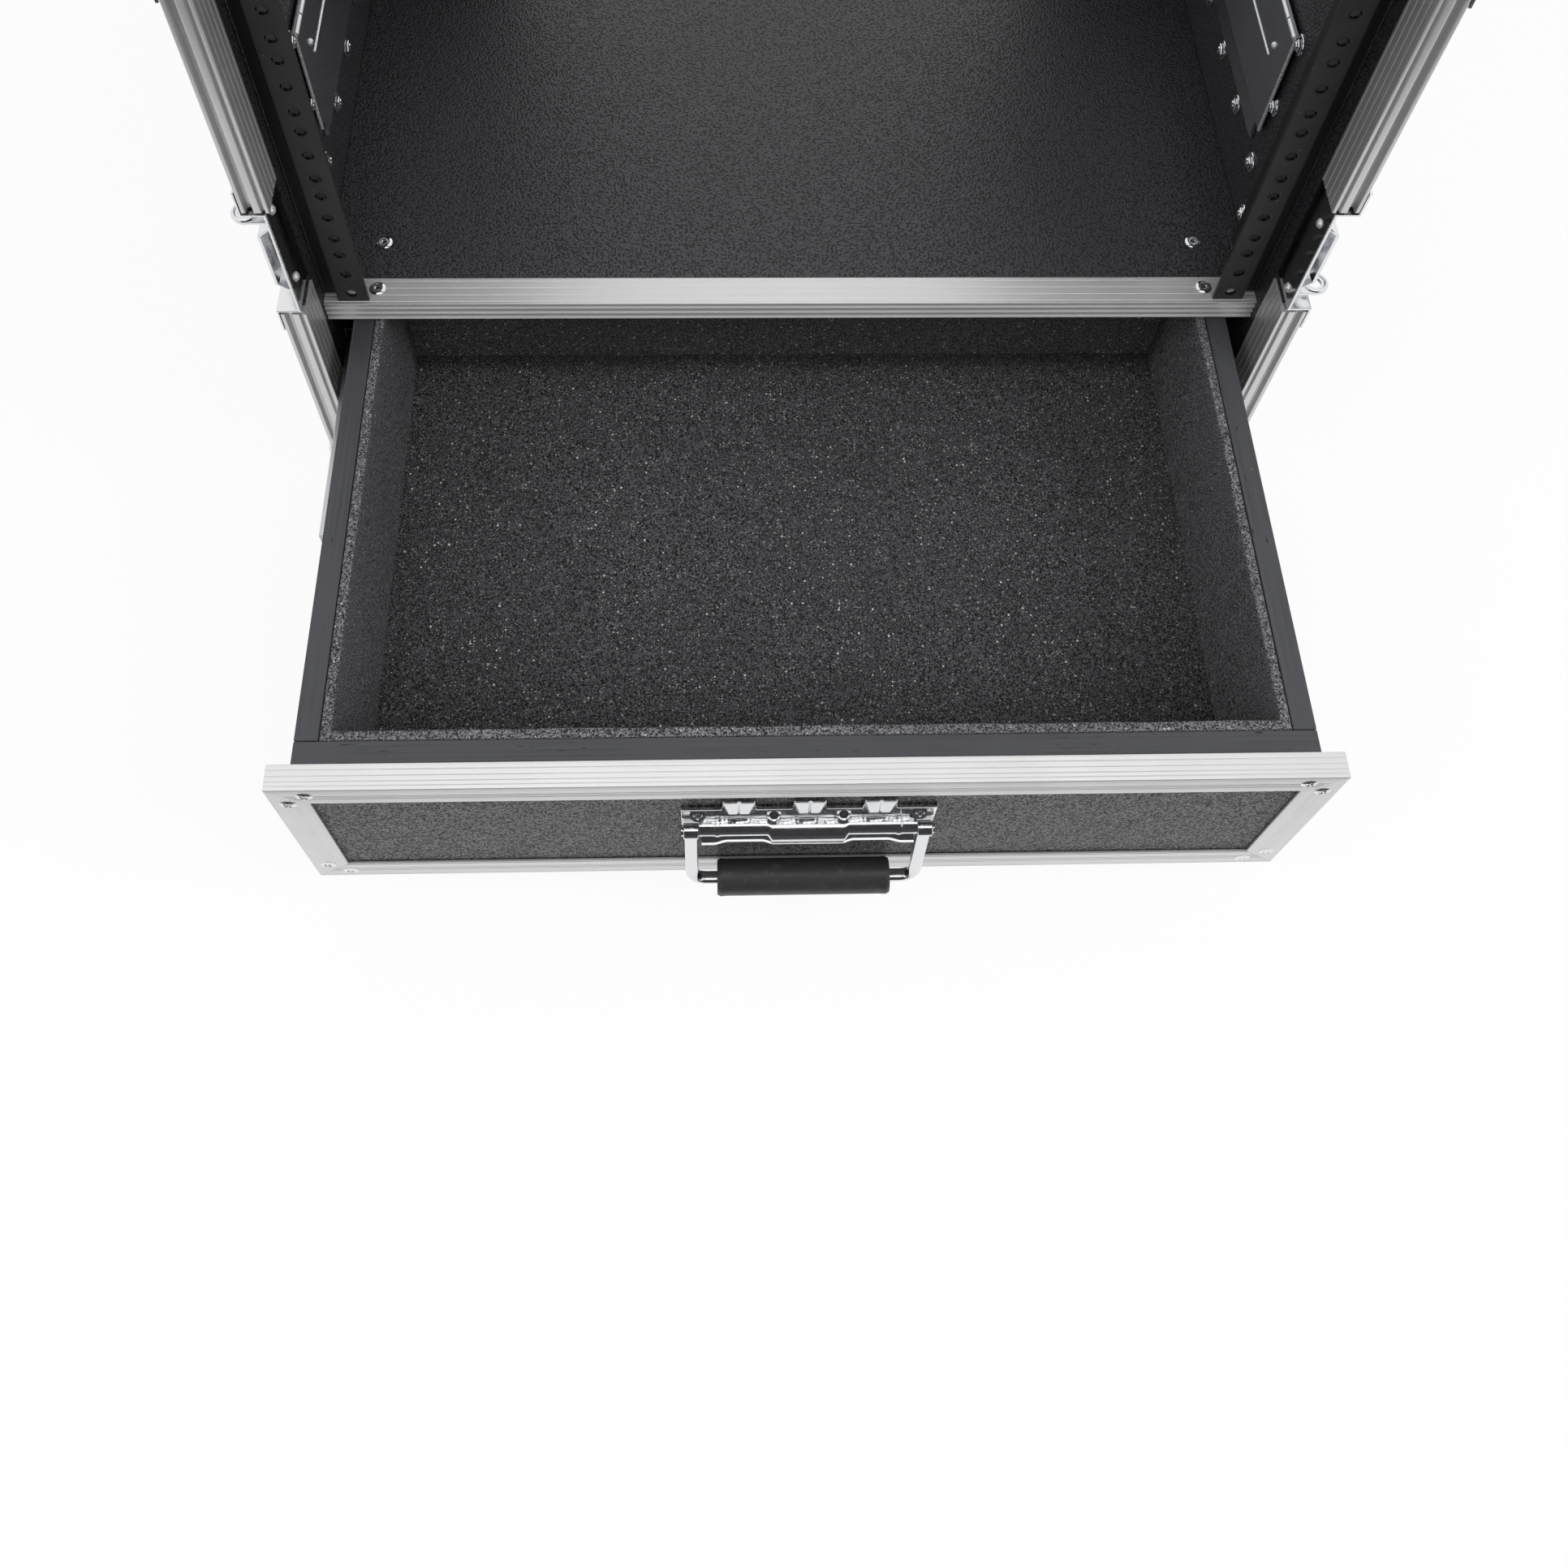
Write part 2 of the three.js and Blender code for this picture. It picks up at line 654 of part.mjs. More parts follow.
// Ball bearing runners: a cabinet member, an intermediate member and a drawer member on each side
const runner = {
  height: 45,
  sheet: 1.2,
  race: 2.5,
  runningGap: 0.4,
  cabinetDepth: 10.4,
  middleBack: 3,
  middleDepth: 8.4,
  drawerDepth: 6.2,
  behindFront: 3,
  shortOfBack: 2,
  rearGap: 11.1,
};
const boxX = innerX - runnerSpace;
const boxTopZ = frontTopZ + stripGap - frontGap + seat * 2;
const boxBottomZ = boxTopZ - drawerHeight;
const closedFrontY = stripY;
const restFrontY = closedFrontY - drawerTravel;
const boxFrontY = restFrontY + frontDepth + seat;
const runnerZ = (boxTopZ + boxBottomZ) / 2;
const runnerFrontY = boxFrontY + drawerTravel + runner.behindFront;
runner.length = backInnerY - runner.rearGap - runnerFrontY;
const boxBackY = boxFrontY + runner.behindFront + runner.length + runner.shortOfBack;

// A channel section: its web at one x, its two flanges reaching to another
function channel(webX, flangeX, half, webThick, flangeThick) {
  const d = Math.sign(flangeX - webX);
  return [
    [webX, half],
    [flangeX, half],
    [flangeX, half - flangeThick],
    [webX + d * webThick, half - flangeThick],
    [webX + d * webThick, flangeThick - half],
    [flangeX, flangeThick - half],
    [flangeX, -half],
    [webX, -half],
  ];
}

for (const [side, s] of sides) {
  const half = runner.height / 2;
  const middleHalf = half - runner.sheet - runner.runningGap;
  const innerHalf = middleHalf - runner.race - runner.runningGap;
  const wallX = innerX - seat;
  const middleX = innerX - runner.middleBack;
  const nearX = boxX + seat;
  const place = (points) => points.map(([x, z]) => [s * x, runnerZ + z]);
  const member = (name, points, startY, parent) => {
    piece(`${name}_${side}`, bar(place(points), 'y', startY, startY + runner.length), 'steel', parent);
  };
  const outer = channel(wallX, wallX - runner.cabinetDepth, half, runner.sheet, runner.sheet);
  const middle = channel(middleX, middleX - runner.middleDepth, middleHalf, runner.sheet, runner.race);
  const inner = channel(nearX, nearX + runner.drawerDepth, innerHalf, runner.sheet, runner.sheet);
  member('cabinet_runner', outer, runnerFrontY, caseGroup);
  member('intermediate_runner', middle, runnerFrontY - drawerTravel / 2, caseGroup);
  member('drawer_runner', inner, runnerFrontY - drawerTravel, drawerGroup);
}

// Drawer box
const liningY = [boxFrontY + board + seat, boxBackY - board - seat];
const boxSpanZ = [boxBottomZ, boxTopZ];
const innerBoxX = boxX - board;
piece('drawer_front_board', block([-boxX, boxX], [boxFrontY, boxFrontY + board], boxSpanZ), 'board', drawerGroup);
piece('drawer_back', block([-boxX, boxX], [boxBackY - board, boxBackY], boxSpanZ), 'board', drawerGroup);
for (const [side, s] of sides) {
  piece(`drawer_side_${side}`, block([s * innerBoxX, s * boxX], liningY, boxSpanZ), 'board', drawerGroup);
}
const liningX = innerBoxX - seat;
const bottomTopZ = boxBottomZ + bottomBoard;
piece(
  'drawer_bottom',
  block([-liningX, liningX], liningY, [boxBottomZ, bottomTopZ]),
  'board',
  drawerGroup,
);

// Foam lining: a floor sheet, and wall strips that stand on it
const foamFloorZ = bottomTopZ + seat + foam;
piece(
  'foam_floor',
  block([-liningX, liningX], liningY, [bottomTopZ + seat, foamFloorZ]),
  'foam',
  drawerGroup,
);
const foamSpanZ = [foamFloorZ + seat, boxTopZ];
const foamHollow = block(
  [foam - liningX, liningX - foam],
  [liningY[0] + foam, liningY[1] - foam],
  [foamFloorZ - overrun, boxTopZ + overrun],
);
const foamRing = block([-liningX, liningX], liningY, foamSpanZ).subtract(foamHollow);
piece('foam_walls', foamRing, 'foam', drawerGroup);

// Drawer front: laminated panel in a mitred aluminium frame
const frame = {
  face: 17.5,
  faceRibs: 4,
  edgeRibs: 4,
};
const frontX = innerX - frontSideGap;
const frameOutline = (place) => [
  [0, 0],
  ...ribs(0, frame.face, frame.faceRibs, (u, d) => [u, d]),
  [frame.face, 0],
  [frame.face, skin],
  [skin, skin],
  [skin, frontDepth],
  [0, frontDepth],
  ...ribs(frontDepth, 0, frame.edgeRibs, (v, d) => [d, v]),
].map(([u, v]) => place(u, v));
for (const [side, s] of sides) {
  const outline = frameOutline((u, v) => [s * (frontX - u), restFrontY + v]);
  const mitre = (x) => frontX - Math.abs(x) + seat;
  const solid = bar(outline, 'z', frontBottomZ, frontTopZ, mitre, mitre);
  piece(`drawer_frame_${side}`, solid, 'aluminium', drawerGroup);
}
for (const [level, edge, inward] of [['bottom', frontBottomZ, 1], ['top', frontTopZ, -1]]) {
  const outline = frameOutline((u, v) => [restFrontY + v, edge + inward * u]);
  const mitre = (y, z) => Math.abs(z - edge) + seat;
  const solid = bar(outline, 'x', -frontX, frontX, mitre, mitre);
  piece(`drawer_frame_${level}`, solid, 'aluminium', drawerGroup);
}
const lip = skin + seat;
const frontPanel = block(
  [lip - frontX, frontX - lip],
  [restFrontY + lip, restFrontY + frontDepth],
  [frontBottomZ + lip, frontTopZ - lip],
);
piece('drawer_front_panel', frontPanel, 'laminate', drawerGroup);

// Drawer handle: plate with hinge barrel, bail and grip
const pull = {
  width: 121,
  plate: 1.5,
  axleRise: 75.7,
  axleOut: 4.7,
  plateDrop: 7,
  frameGap: 0.5,
  arm: 56,
  gripOut: 10,
};
const pullAxleY = restFrontY - pull.axleOut;
const pullAxleZ = frontBottomZ + pull.axleRise;
const pullFaceY = restFrontY + lip - seat - pull.plate;
const pullTopZ = frontTopZ - frame.face - pull.frameGap;
const pullPlate = block(
  [-pull.width / 2, pull.width / 2],
  [pullFaceY, pullFaceY + pull.plate],
  [pullAxleZ - pull.plateDrop, pullTopZ],
);
const pullRib = block(
  [-bail.barrelHalf, bail.barrelHalf],
  [pullAxleY, pullFaceY + pull.plate / 2],
  [pullAxleZ + bail.rodRadius + bail.runningGap * 2, pullAxleZ + bail.barrelRadius],
);
const toPull = new THREE.Matrix4().makeTranslation(0, pullAxleY, pullAxleZ);
const pullBody = pullPlate.add(pullRib).add(placed(barrelSolid(), toPull));
piece('drawer_handle_plate', pullBody, 'zinc', drawerGroup);
const pullHandle = new THREE.Group();
pullHandle.position.set(0, pullAxleY, pullAxleZ);
pullHandle.rotation.x = -Math.asin((pull.gripOut - pull.axleOut) / pull.arm);
drawerGroup.add(pullHandle);
piece('drawer_handle_bail', bailSolid(pull.arm), 'zinc', pullHandle);
piece('drawer_handle_grip', gripSolid(pull.arm), 'rubber', pullHandle);

const group = new THREE.Group();
group.add(caseGroup, drawerGroup);

export default group;
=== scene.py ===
"""Road case with an open rack bay over one foam-lined drawer: rounded profiles, pressed metal,
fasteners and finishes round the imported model, whose nodes give every size and place they hold."""
import json
import math

import bmesh
import bpy
import mathutils
import numpy as np
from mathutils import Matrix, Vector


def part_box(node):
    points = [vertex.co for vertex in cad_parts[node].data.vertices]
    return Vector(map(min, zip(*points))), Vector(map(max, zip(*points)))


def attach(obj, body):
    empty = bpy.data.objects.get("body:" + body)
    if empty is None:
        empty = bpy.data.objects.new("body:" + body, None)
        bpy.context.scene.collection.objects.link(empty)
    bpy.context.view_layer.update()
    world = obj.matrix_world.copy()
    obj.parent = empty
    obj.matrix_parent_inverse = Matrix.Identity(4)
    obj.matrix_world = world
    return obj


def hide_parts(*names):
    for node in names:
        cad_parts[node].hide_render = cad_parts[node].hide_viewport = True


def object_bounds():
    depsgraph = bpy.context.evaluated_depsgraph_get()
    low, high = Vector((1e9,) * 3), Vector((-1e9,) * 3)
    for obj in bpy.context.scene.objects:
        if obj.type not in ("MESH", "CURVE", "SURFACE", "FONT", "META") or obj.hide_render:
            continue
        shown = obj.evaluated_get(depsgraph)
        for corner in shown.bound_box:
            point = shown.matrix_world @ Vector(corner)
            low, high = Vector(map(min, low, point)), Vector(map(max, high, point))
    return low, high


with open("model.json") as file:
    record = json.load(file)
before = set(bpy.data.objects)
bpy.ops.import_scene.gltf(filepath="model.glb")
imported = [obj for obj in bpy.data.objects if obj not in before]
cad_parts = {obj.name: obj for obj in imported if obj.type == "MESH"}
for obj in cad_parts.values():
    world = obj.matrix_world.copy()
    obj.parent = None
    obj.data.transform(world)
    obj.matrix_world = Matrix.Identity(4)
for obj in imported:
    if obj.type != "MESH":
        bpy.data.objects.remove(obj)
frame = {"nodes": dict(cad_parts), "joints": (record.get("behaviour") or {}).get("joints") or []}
cad_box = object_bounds()

bl_info = {
    "name": "Road Case",
    "version": (1, 0, 0),
    "blender": (4, 5, 0),
    "location": "3D View > Sidebar > Road Case",
    "description": "Builds the looks of a road case with a rack bay and a drawer",
    "category": "Object",
}

MM = 0.001
WELD = 1e-6
TURN = 2 * math.pi
SIDES = (("left", -1), ("right", 1))
# For each axis, the two axes of its cross-section and the axis itself
SPANS = {"x": (1, 2, 0), "y": (0, 2, 1), "z": (0, 1, 2)}

RACK_UNIT = 44.45 * MM
HOLE_RISES = (6.35 * MM, 22.225 * MM, 38.1 * MM)
RAIL_SHEET = 2 * MM
BALL_RADIUS = 22 * MM
BALL_INSET = 13.4 * MM
BALL_SHEET = 1.4 * MM
EDGE_RIBS = 4
# Lean of the fasteners on the drawer handle's plate
LEAN_BACK = math.radians(38)
KNUCKLES = (-33 * MM, 0.0, 33 * MM)
SENSOR = 36.0
CAMERA_PLACE = (-0.04594, -0.66343, 0.81777)
CAMERA_TURN = (0.56092, -0.02601, -0.02258)


def box(node):
    """Lowest and highest corner of a node, as arrays in metres."""
    low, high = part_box(node)
    return np.array(low), np.array(high)


def middle_of(node):
    """Centre of a node's box."""
    low, high = box(node)
    return (low + high) / 2


def axle_of(hinge):
    """A point on a hinge's axis."""
    return np.array(next(joint["pos_m"] for joint in frame["joints"] if joint["name"] == hinge))


# Places that several pieces share, taken from the nodes
front_y = box("front_extrusion_bottom")[0][1]
back_y = box("back_edge_frame")[1][1]
low_z = box("front_extrusion_bottom")[0][2]
high_z = box("front_extrusion_top")[1][2]
outer_x = box("edge_angle_top_right")[1][0]
inner_x = box("side_panel_right")[0][0]
drawer_face_y = box("drawer_front_panel")[0][1]
dish_x = box("handle_dish_right")[0][0]
case_levels = (("bottom", low_z, 1), ("top", high_z, -1))


# Shapes: a part is an array of points and a list of face arrays

def mm(*values):
    """Lengths or points in millimetres as an array in metres."""
    return np.array(values, float) * MM


def joined(*parts):
    """One part out of several: their points in a row, their face numbers moved up to match."""
    points, faces, start = [], [], 0
    for part_points, part_faces in parts:
        points.append(part_points)
        faces += [face + start for face in part_faces]
        start += len(part_points)
    return np.concatenate(points), faces


def moved(part, shift=(0, 0, 0), scale=(1, 1, 1)):
    """Each point times the scale, plus the shift."""
    points, faces = part
    return points * np.array(scale) + np.array(shift), faces


def turned(part, angle, axis, about=(0, 0, 0)):
    """Each point turned by an angle round an axis through a point."""
    points, faces = part
    first, second, _ = SPANS[axis]
    local = points - np.array(about)
    cosine, sine = math.cos(angle), math.sin(angle)
    result = local.copy()
    result[:, first] = cosine * local[:, first] - sine * local[:, second]
    result[:, second] = sine * local[:, first] + cosine * local[:, second]
    return result + np.array(about), faces


def oriented(part, axis, sign, centre):
    """A part that stands on +Z, laid along an axis with a sign and moved to a place."""
    points, faces = part
    first, second, third = SPANS[axis]
    result = np.zeros_like(points)
    result[:, first] = points[:, 0]
    result[:, second] = points[:, 1]
    result[:, third] = points[:, 2] * sign
    return result + np.array(centre), faces


def rounded(outline, radius, steps=3):
    """Each corner becomes a quadratic arc whose ends lie one radius, or less than half an edge, away:
    (1-t)^2 start + 2t(1-t) corner + t^2 end."""
    outline = np.array(outline, float)
    radius = np.broadcast_to(radius, len(outline))[:, None]
    before = np.roll(outline, 1, 0) - outline
    after = np.roll(outline, -1, 0) - outline
    before_length = np.linalg.norm(before, axis=1, keepdims=True)
    after_length = np.linalg.norm(after, axis=1, keepdims=True)
    start = outline + before / before_length * np.minimum(radius, before_length * 0.48)
    end = outline + after / after_length * np.minimum(radius, after_length * 0.48)
    t = np.linspace(0, 1, steps + 1)[None, :, None]
    arcs = (1 - t) ** 2 * start[:, None] + 2 * t * (1 - t) * outline[:, None] + t ** 2 * end[:, None]
    points = arcs.reshape(-1, 2)
    keep = np.linalg.norm(points - np.roll(points, 1, 0), axis=1) > WELD
    return points[keep]


def surface(grid, wrap_rows=False, wrap_columns=False):
    """Quads between the neighbours of a grid of points."""
    rows, columns = grid.shape[:2]
    number = np.arange(rows * columns).reshape(rows, columns)
    if wrap_rows:
        number = np.concatenate([number, number[:1]])
    if wrap_columns:
        number = np.concatenate([number, number[:, :1]], 1)
    quads = np.stack([number[:-1, :-1], number[1:, :-1], number[1:, 1:], number[:-1, 1:]], -1)
    return grid.reshape(-1, 3), [quads.reshape(-1, 4)]


def tube(grid):
    """Rings of points joined into a wall, closed by the first and the last ring."""
    points, faces = surface(grid, wrap_columns=True)
    ring = np.arange(grid.shape[1])
    return points, faces + [np.stack([ring[::-1], ring + (len(grid) - 1) * len(ring)])]


def prism(outline, axis, stations, cut_low=None, cut_high=None):
    """A closed outline carried straight along an axis through the stations. A cut moves the first or
    last ring inwards by a function of the outline."""
    a, b = np.array(outline).T
    along = np.repeat(np.array(stations, float)[:, None], len(a), 1)
    if cut_low:
        along[0] += cut_low(a, b)
    if cut_high:
        along[-1] -= cut_high(a, b)
    first, second, third = SPANS[axis]
    grid = np.zeros((len(stations), len(a), 3))
    grid[..., first] = a
    grid[..., second] = b
    grid[..., third] = along
    return tube(grid)


def lathe(profile, sides, axis="z", centre=(0, 0, 0), closed=False):
    """Profile points (radius, height) carried round an axis. A zero radius closes on one point, and a
    closed profile's last point meets its first."""
    radius, height = np.array(profile, float).T
    angle = np.arange(sides) * TURN / sides
    first, second, third = SPANS[axis]
    grid = np.zeros((len(radius), sides, 3))
    grid[..., first] = radius[:, None] * np.cos(angle)
    grid[..., second] = radius[:, None] * np.sin(angle)
    grid[..., third] = height[:, None]
    return surface(grid + np.array(centre), wrap_rows=closed, wrap_columns=True)


def carried(sections, path, across):
    """Sections (across, normal) carried along a flat path, whose plane the across direction is
    square to. The ends are closed by the first and last section."""
    path = np.array(path, float)
    across = np.array(across, float)
    tangent = np.gradient(path, axis=0)
    tangent /= np.linalg.norm(tangent, axis=1, keepdims=True)
    normal = np.cross(across, tangent)
    sections = np.broadcast_to(sections, (len(path),) + np.shape(sections)[-2:])
    return tube(path[:, None] + sections[..., :1] * across + sections[..., 1:] * normal[:, None])


def oval(half_a, half_b, count, power=2.0):
    """Points of a superellipse: |cos|^(2/power) and |sin|^(2/power) with their signs."""
    angle = np.arange(count) * TURN / count
    a = np.sign(np.cos(angle)) * np.abs(np.cos(angle)) ** (2 / power)
    b = np.sign(np.sin(angle)) * np.abs(np.sin(angle)) ** (2 / power)
    return np.stack([a * half_a, b * half_b], -1)


def ease(value, low, high):
    """Smooth step from 0 at low to 1 at high: t^2 (3 - 2t)."""
    t = np.clip((value - low) / (high - low), 0, 1)
    return t * t * (3 - 2 * t)


# Pieces

def weld(mesh, flat=0.0):
    """Merges a mesh's doubles and turns its faces outwards. A flat angle merges coplanar faces too."""
    work = bmesh.new()
    work.from_mesh(mesh)
    bmesh.ops.remove_doubles(work, verts=work.verts, dist=WELD)
    if flat:
        bmesh.ops.dissolve_limit(work, angle_limit=flat, verts=work.verts, edges=work.edges)
    else:
        bmesh.ops.dissolve_degenerate(work, edges=work.edges, dist=WELD)
    bmesh.ops.recalc_face_normals(work, faces=work.faces)
    work.to_mesh(mesh)
    work.free()


def mesh_of(name, part, sharp):
    """A mesh with welded points, faces pointing out, and edges sharper than the angle kept sharp."""
    points, faces = part
    corners = np.concatenate([face.ravel() for face in faces])
    counts = np.concatenate([np.full(len(face), face.shape[1]) for face in faces])
    mesh = bpy.data.meshes.new(name)
    mesh.vertices.add(len(points))
    mesh.vertices.foreach_set("co", points.ravel())
    mesh.loops.add(len(corners))
    mesh.loops.foreach_set("vertex_index", corners)
    mesh.polygons.add(len(counts))
    mesh.polygons.foreach_set("loop_start", np.cumsum(counts) - counts)
    mesh.update(calc_edges=True)
    weld(mesh)
    mesh.shade_smooth()
    mesh.set_sharp_from_angle(angle=math.radians(sharp))
    return mesh


def flat_mesh(name, corners):
    """A mesh of one face with four corners."""
    return mesh_of(name, (np.array(corners, float), [np.array([[0, 1, 2, 3]])]), 30)


def put_in_scene(name, mesh, finish):
    """An object that shows a mesh in a finish."""
    mesh.materials.append(bpy.data.materials[finish])
    thing = bpy.data.objects.new(name, mesh)
    bpy.context.scene.collection.objects.link(thing)
    return thing


def place_piece(name, mesh, body, finish, node=None):
    """Puts a mesh into the scene as a piece that rides on a body and may stand for a node."""
    piece = put_in_scene(name, mesh, finish)
    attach(piece, body)
    if node:
        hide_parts(node)
    return piece


def add_piece(name, part, body, finish, node=None, sharp=38):
    """A new piece out of a part."""
    return place_piece(name, mesh_of(name, part, sharp), body, finish, node)


def add_set(name, parts, body, finish):
    """Several parts as one piece."""
    add_piece(name, joined(*parts), body, finish)


def soften(node, body, finish, width):
    """A merged copy of a node with rounded edges, which stands for the node."""
    mesh = frame["nodes"][node].data.copy()
    mesh.materials.clear()
    weld(mesh, math.radians(0.2))
    mesh.shade_smooth()
    mesh.set_sharp_from_angle(angle=math.radians(32))
    piece = place_piece(node + "_rounded", mesh, body, finish, node)
    bevel = piece.modifiers.new("Edges", "BEVEL")
    bevel.width = width
    bevel.segments = 2
    bevel.limit_method = "ANGLE"
    bevel.angle_limit = math.radians(40)
    bevel.harden_normals = True
    bevel.use_clamp_overlap = True


# Settings

def colour_setting(name, description, default):
    """A colour that a user can change."""
    return bpy.props.FloatVectorProperty(
        name=name, description=description, default=default, subtype="COLOR", size=3, min=0.0, max=1.0
    )


def length_setting(name, description, default):
    """A length in metres that a user can change."""
    return bpy.props.FloatProperty(
        name=name, description=description, default=default, min=0.0, unit="LENGTH", precision=5
    )


def power_setting(name, description, default):
    """A lamp's power in watts that a user can change."""
    return bpy.props.FloatProperty(
        name=name, description=description, default=default, min=0.0, unit="POWER"
    )


class RoadCaseFinishes(bpy.types.PropertyGroup):
    """Colours and grain sizes of the finishes."""
    laminate: colour_setting("Laminate", "Panels' pebbled skin", (0.026, 0.0265, 0.03))
    laminate_cell: length_setting("Laminate grain", "Width of one pebble of the panels", 0.0013)
    front_cell: length_setting("Drawer front grain", "Width of one pebble of the drawer front", 0.00085)
    front_laminate: colour_setting("Drawer front", "Drawer front's pebbled skin", (0.046, 0.0445, 0.0445))
    aluminium: colour_setting("Aluminium", "Edging and frames", (0.66, 0.655, 0.66))
    strip: colour_setting("Shelf strip", "Matt aluminium of the shelf's edge", (0.7, 0.7, 0.71))
    zinc: colour_setting("Zinc", "Bright plated steel", (0.8, 0.81, 0.825))
    # Thread colour: painted shade inside the rack holes.
    thread: colour_setting("Threads", "Blackened steel of the rack holes", (0.045, 0.045, 0.046))
    runner: colour_setting("Runner steel", "Drawer runners", (0.58, 0.585, 0.59))
    coat: colour_setting("Rail coat", "Powder coat of the rack rails", (0.02, 0.0198, 0.019))
    batten: colour_setting("Batten", "Stained battens behind the rails", (0.007, 0.007, 0.0075))
    board: colour_setting("Drawer boards", "Painted plywood of the drawer", (0.043, 0.044, 0.049))
    foam: colour_setting("Foam", "Foam lining", (0.032, 0.032, 0.034))
    foam_cell: length_setting("Foam cell", "Width of one grain of the foam", 0.00085)
    foam_speck: colour_setting("Foam specks", "Pale specks in the foam", (0.75, 0.75, 0.76))
    speck_cell: length_setting("Speck spacing", "Distance between the foam's specks", 0.00125)
    grip: colour_setting("Grip", "Rubber of the handle grips", (0.024, 0.024, 0.0255))


class RoadCaseEdging(bpy.types.PropertyGroup):
    """Sizes of the rolled aluminium profiles."""
    sheet: length_setting("Sheet", "Thickness of the profiles", 0.0015)
    leg: length_setting("Leg", "Width of the edge angles", 0.030)
    web: length_setting("Web", "Depth of the front extrusion's solid part", 0.006)
    inner_leg: length_setting("Inner leg", "Depth of the extrusion's flange inside the case", 0.022)
    groove_at: length_setting("Groove place", "Lid groove's distance from the outer face", 0.0021)
    groove_width: length_setting("Groove width", "Width of the lid groove", 0.0037)
    groove_depth: length_setting("Groove depth", "Depth of the lid groove", 0.0038)
    step_at: length_setting("Step place", "Second groove's distance from the outer face", 0.0094)
    step_width: length_setting("Step width", "Width of the second groove", 0.0018)
    step_depth: length_setting("Step depth", "Depth of the second groove", 0.002)
    rib: length_setting("Rib groove", "Width of one rolled groove", 0.0012)
    rib_depth: length_setting("Rib depth", "Depth of one rolled groove", 0.0004)
    edge: length_setting("Edge radius", "Rounding of the profile edges", 0.0004)


class RoadCaseHardware(bpy.types.PropertyGroup):
    """Sizes of handles and fasteners."""
    rod: length_setting("Bail thickness", "Thickness of a bail", 0.007)
    grip: length_setting("Grip diameter", "Diameter of a grip", 0.0186)
    grip_length: length_setting("Grip length", "Length of a grip", 0.086)
    washer: length_setting("Washer diameter", "Diameter of a handle bolt's washer", 0.0112)
    rivet: length_setting("Rivet diameter", "Diameter of a pop rivet's head", 0.0085)
    screw: length_setting("Screw diameter", "Diameter of a frame screw's head", 0.0078)
    hole: length_setting("Rack hole", "Diameter of a threaded hole in the rack rail", 0.0056)


class RoadCaseStage(bpy.types.PropertyGroup):
    """Camera and light."""
    focal: bpy.props.FloatProperty(
        name="Focal length", description="Camera's focal length on a 36 mm sensor, in mm", default=36.211
    )
    lift: bpy.props.FloatVectorProperty(
        name="Lens shift", description="Camera's shift, as shares of the frame", size=2,
        default=(0.0135, -0.2153),
    )
    sky: bpy.props.FloatProperty(
        name="Sky", description="Strength of the even light from all around", default=0.4, min=0.0
    )
    key: power_setting("Overhead lamp", "Power of the large lamp overhead", 7.5)
    fill: power_setting("Front lamp", "Power of the lamp in front", 24.0)
    right: power_setting("Right lamp", "Power of the lamp on the right", 22.0)
    left: power_setting("Left lamp", "Power of the lamp on the left", 12.0)
    bay: power_setting("Bay lamp", "Power of the lamp at the back of the rack bay", 0.31)
    roof: power_setting("Bay roof lamp", "Power of the lamp under the top of the rack bay", 0.3)


SETTINGS = {
    "road_case_finishes": RoadCaseFinishes,
    "road_case_edging": RoadCaseEdging,
    "road_case_hardware": RoadCaseHardware,
    "road_case_stage": RoadCaseStage,
}


def finishes():
    return bpy.context.scene.road_case_finishes


def edging():
    return bpy.context.scene.road_case_edging


def hardware():
    return bpy.context.scene.road_case_hardware


# Shader helpers

def feed(tree, socket, value):
    """Links a socket to another one, or sets its value."""
    if isinstance(value, bpy.types.NodeSocket):
        tree.links.new(value, socket)
    else:
        socket.default_value = value


def wire(tree, kind, inputs=None, **settings):
    """A node with its settings, its inputs linked to sockets or set to values."""
    node = tree.nodes.new(kind)
    for key, value in settings.items():
        setattr(node, key, value)
    for key, value in (inputs or {}).items():
        feed(tree, node.inputs[key], value)
    return node


def maths(tree, operation, first, second=0.0, clamp=False):
    """One Math node's result."""
    node = wire(tree, "ShaderNodeMath", {0: first, 1: second}, operation=operation, use_clamp=clamp)
    return node.outputs[0]


def ranged(tree, value, low, high, to_low=0.0, to_high=1.0):
    """A value mapped smoothly from one range to another."""
    sockets = {"Value": value, "From Min": low, "From Max": high, "To Min": to_low, "To Max": to_high}
    return wire(tree, "ShaderNodeMapRange", sockets, interpolation_type="SMOOTHSTEP").outputs[0]


def mixed(tree, factor, first, second):
    """A colour between two colours."""
    return wire(tree, "ShaderNodeMix", {0: factor, 6: first, 7: second}, data_type="RGBA").outputs[2]


def noise(tree, vector, scale, detail=2.0, roughness=0.5):
    """Noise at a number of cells to the metre."""
    sockets = {"Vector": vector, "Scale": scale, "Detail": detail, "Roughness": roughness}
    return wire(tree, "ShaderNodeTexNoise", sockets).outputs[0]


def stretched(tree, vector, stretch):
    """A place squeezed or stretched along each axis."""
    node = wire(tree, "ShaderNodeVectorMath", {0: vector, 1: stretch}, operation="MULTIPLY")
    return node.outputs[0]


def axes_of(tree, place):
    """X, Y and Z of a place."""
    return wire(tree, "ShaderNodeSeparateXYZ", {0: place}).outputs


def grouped(tree, group, **inputs):
    """Outputs of a group placed in a tree, with its inputs linked or set."""
    return wire(tree, "ShaderNodeGroup", inputs, node_tree=bpy.data.node_groups[group]).outputs


def shade(colour, factor=1.0):
    """A colour times a factor, with an alpha of 1."""
    return tuple(part * factor for part in colour) + (1.0,)


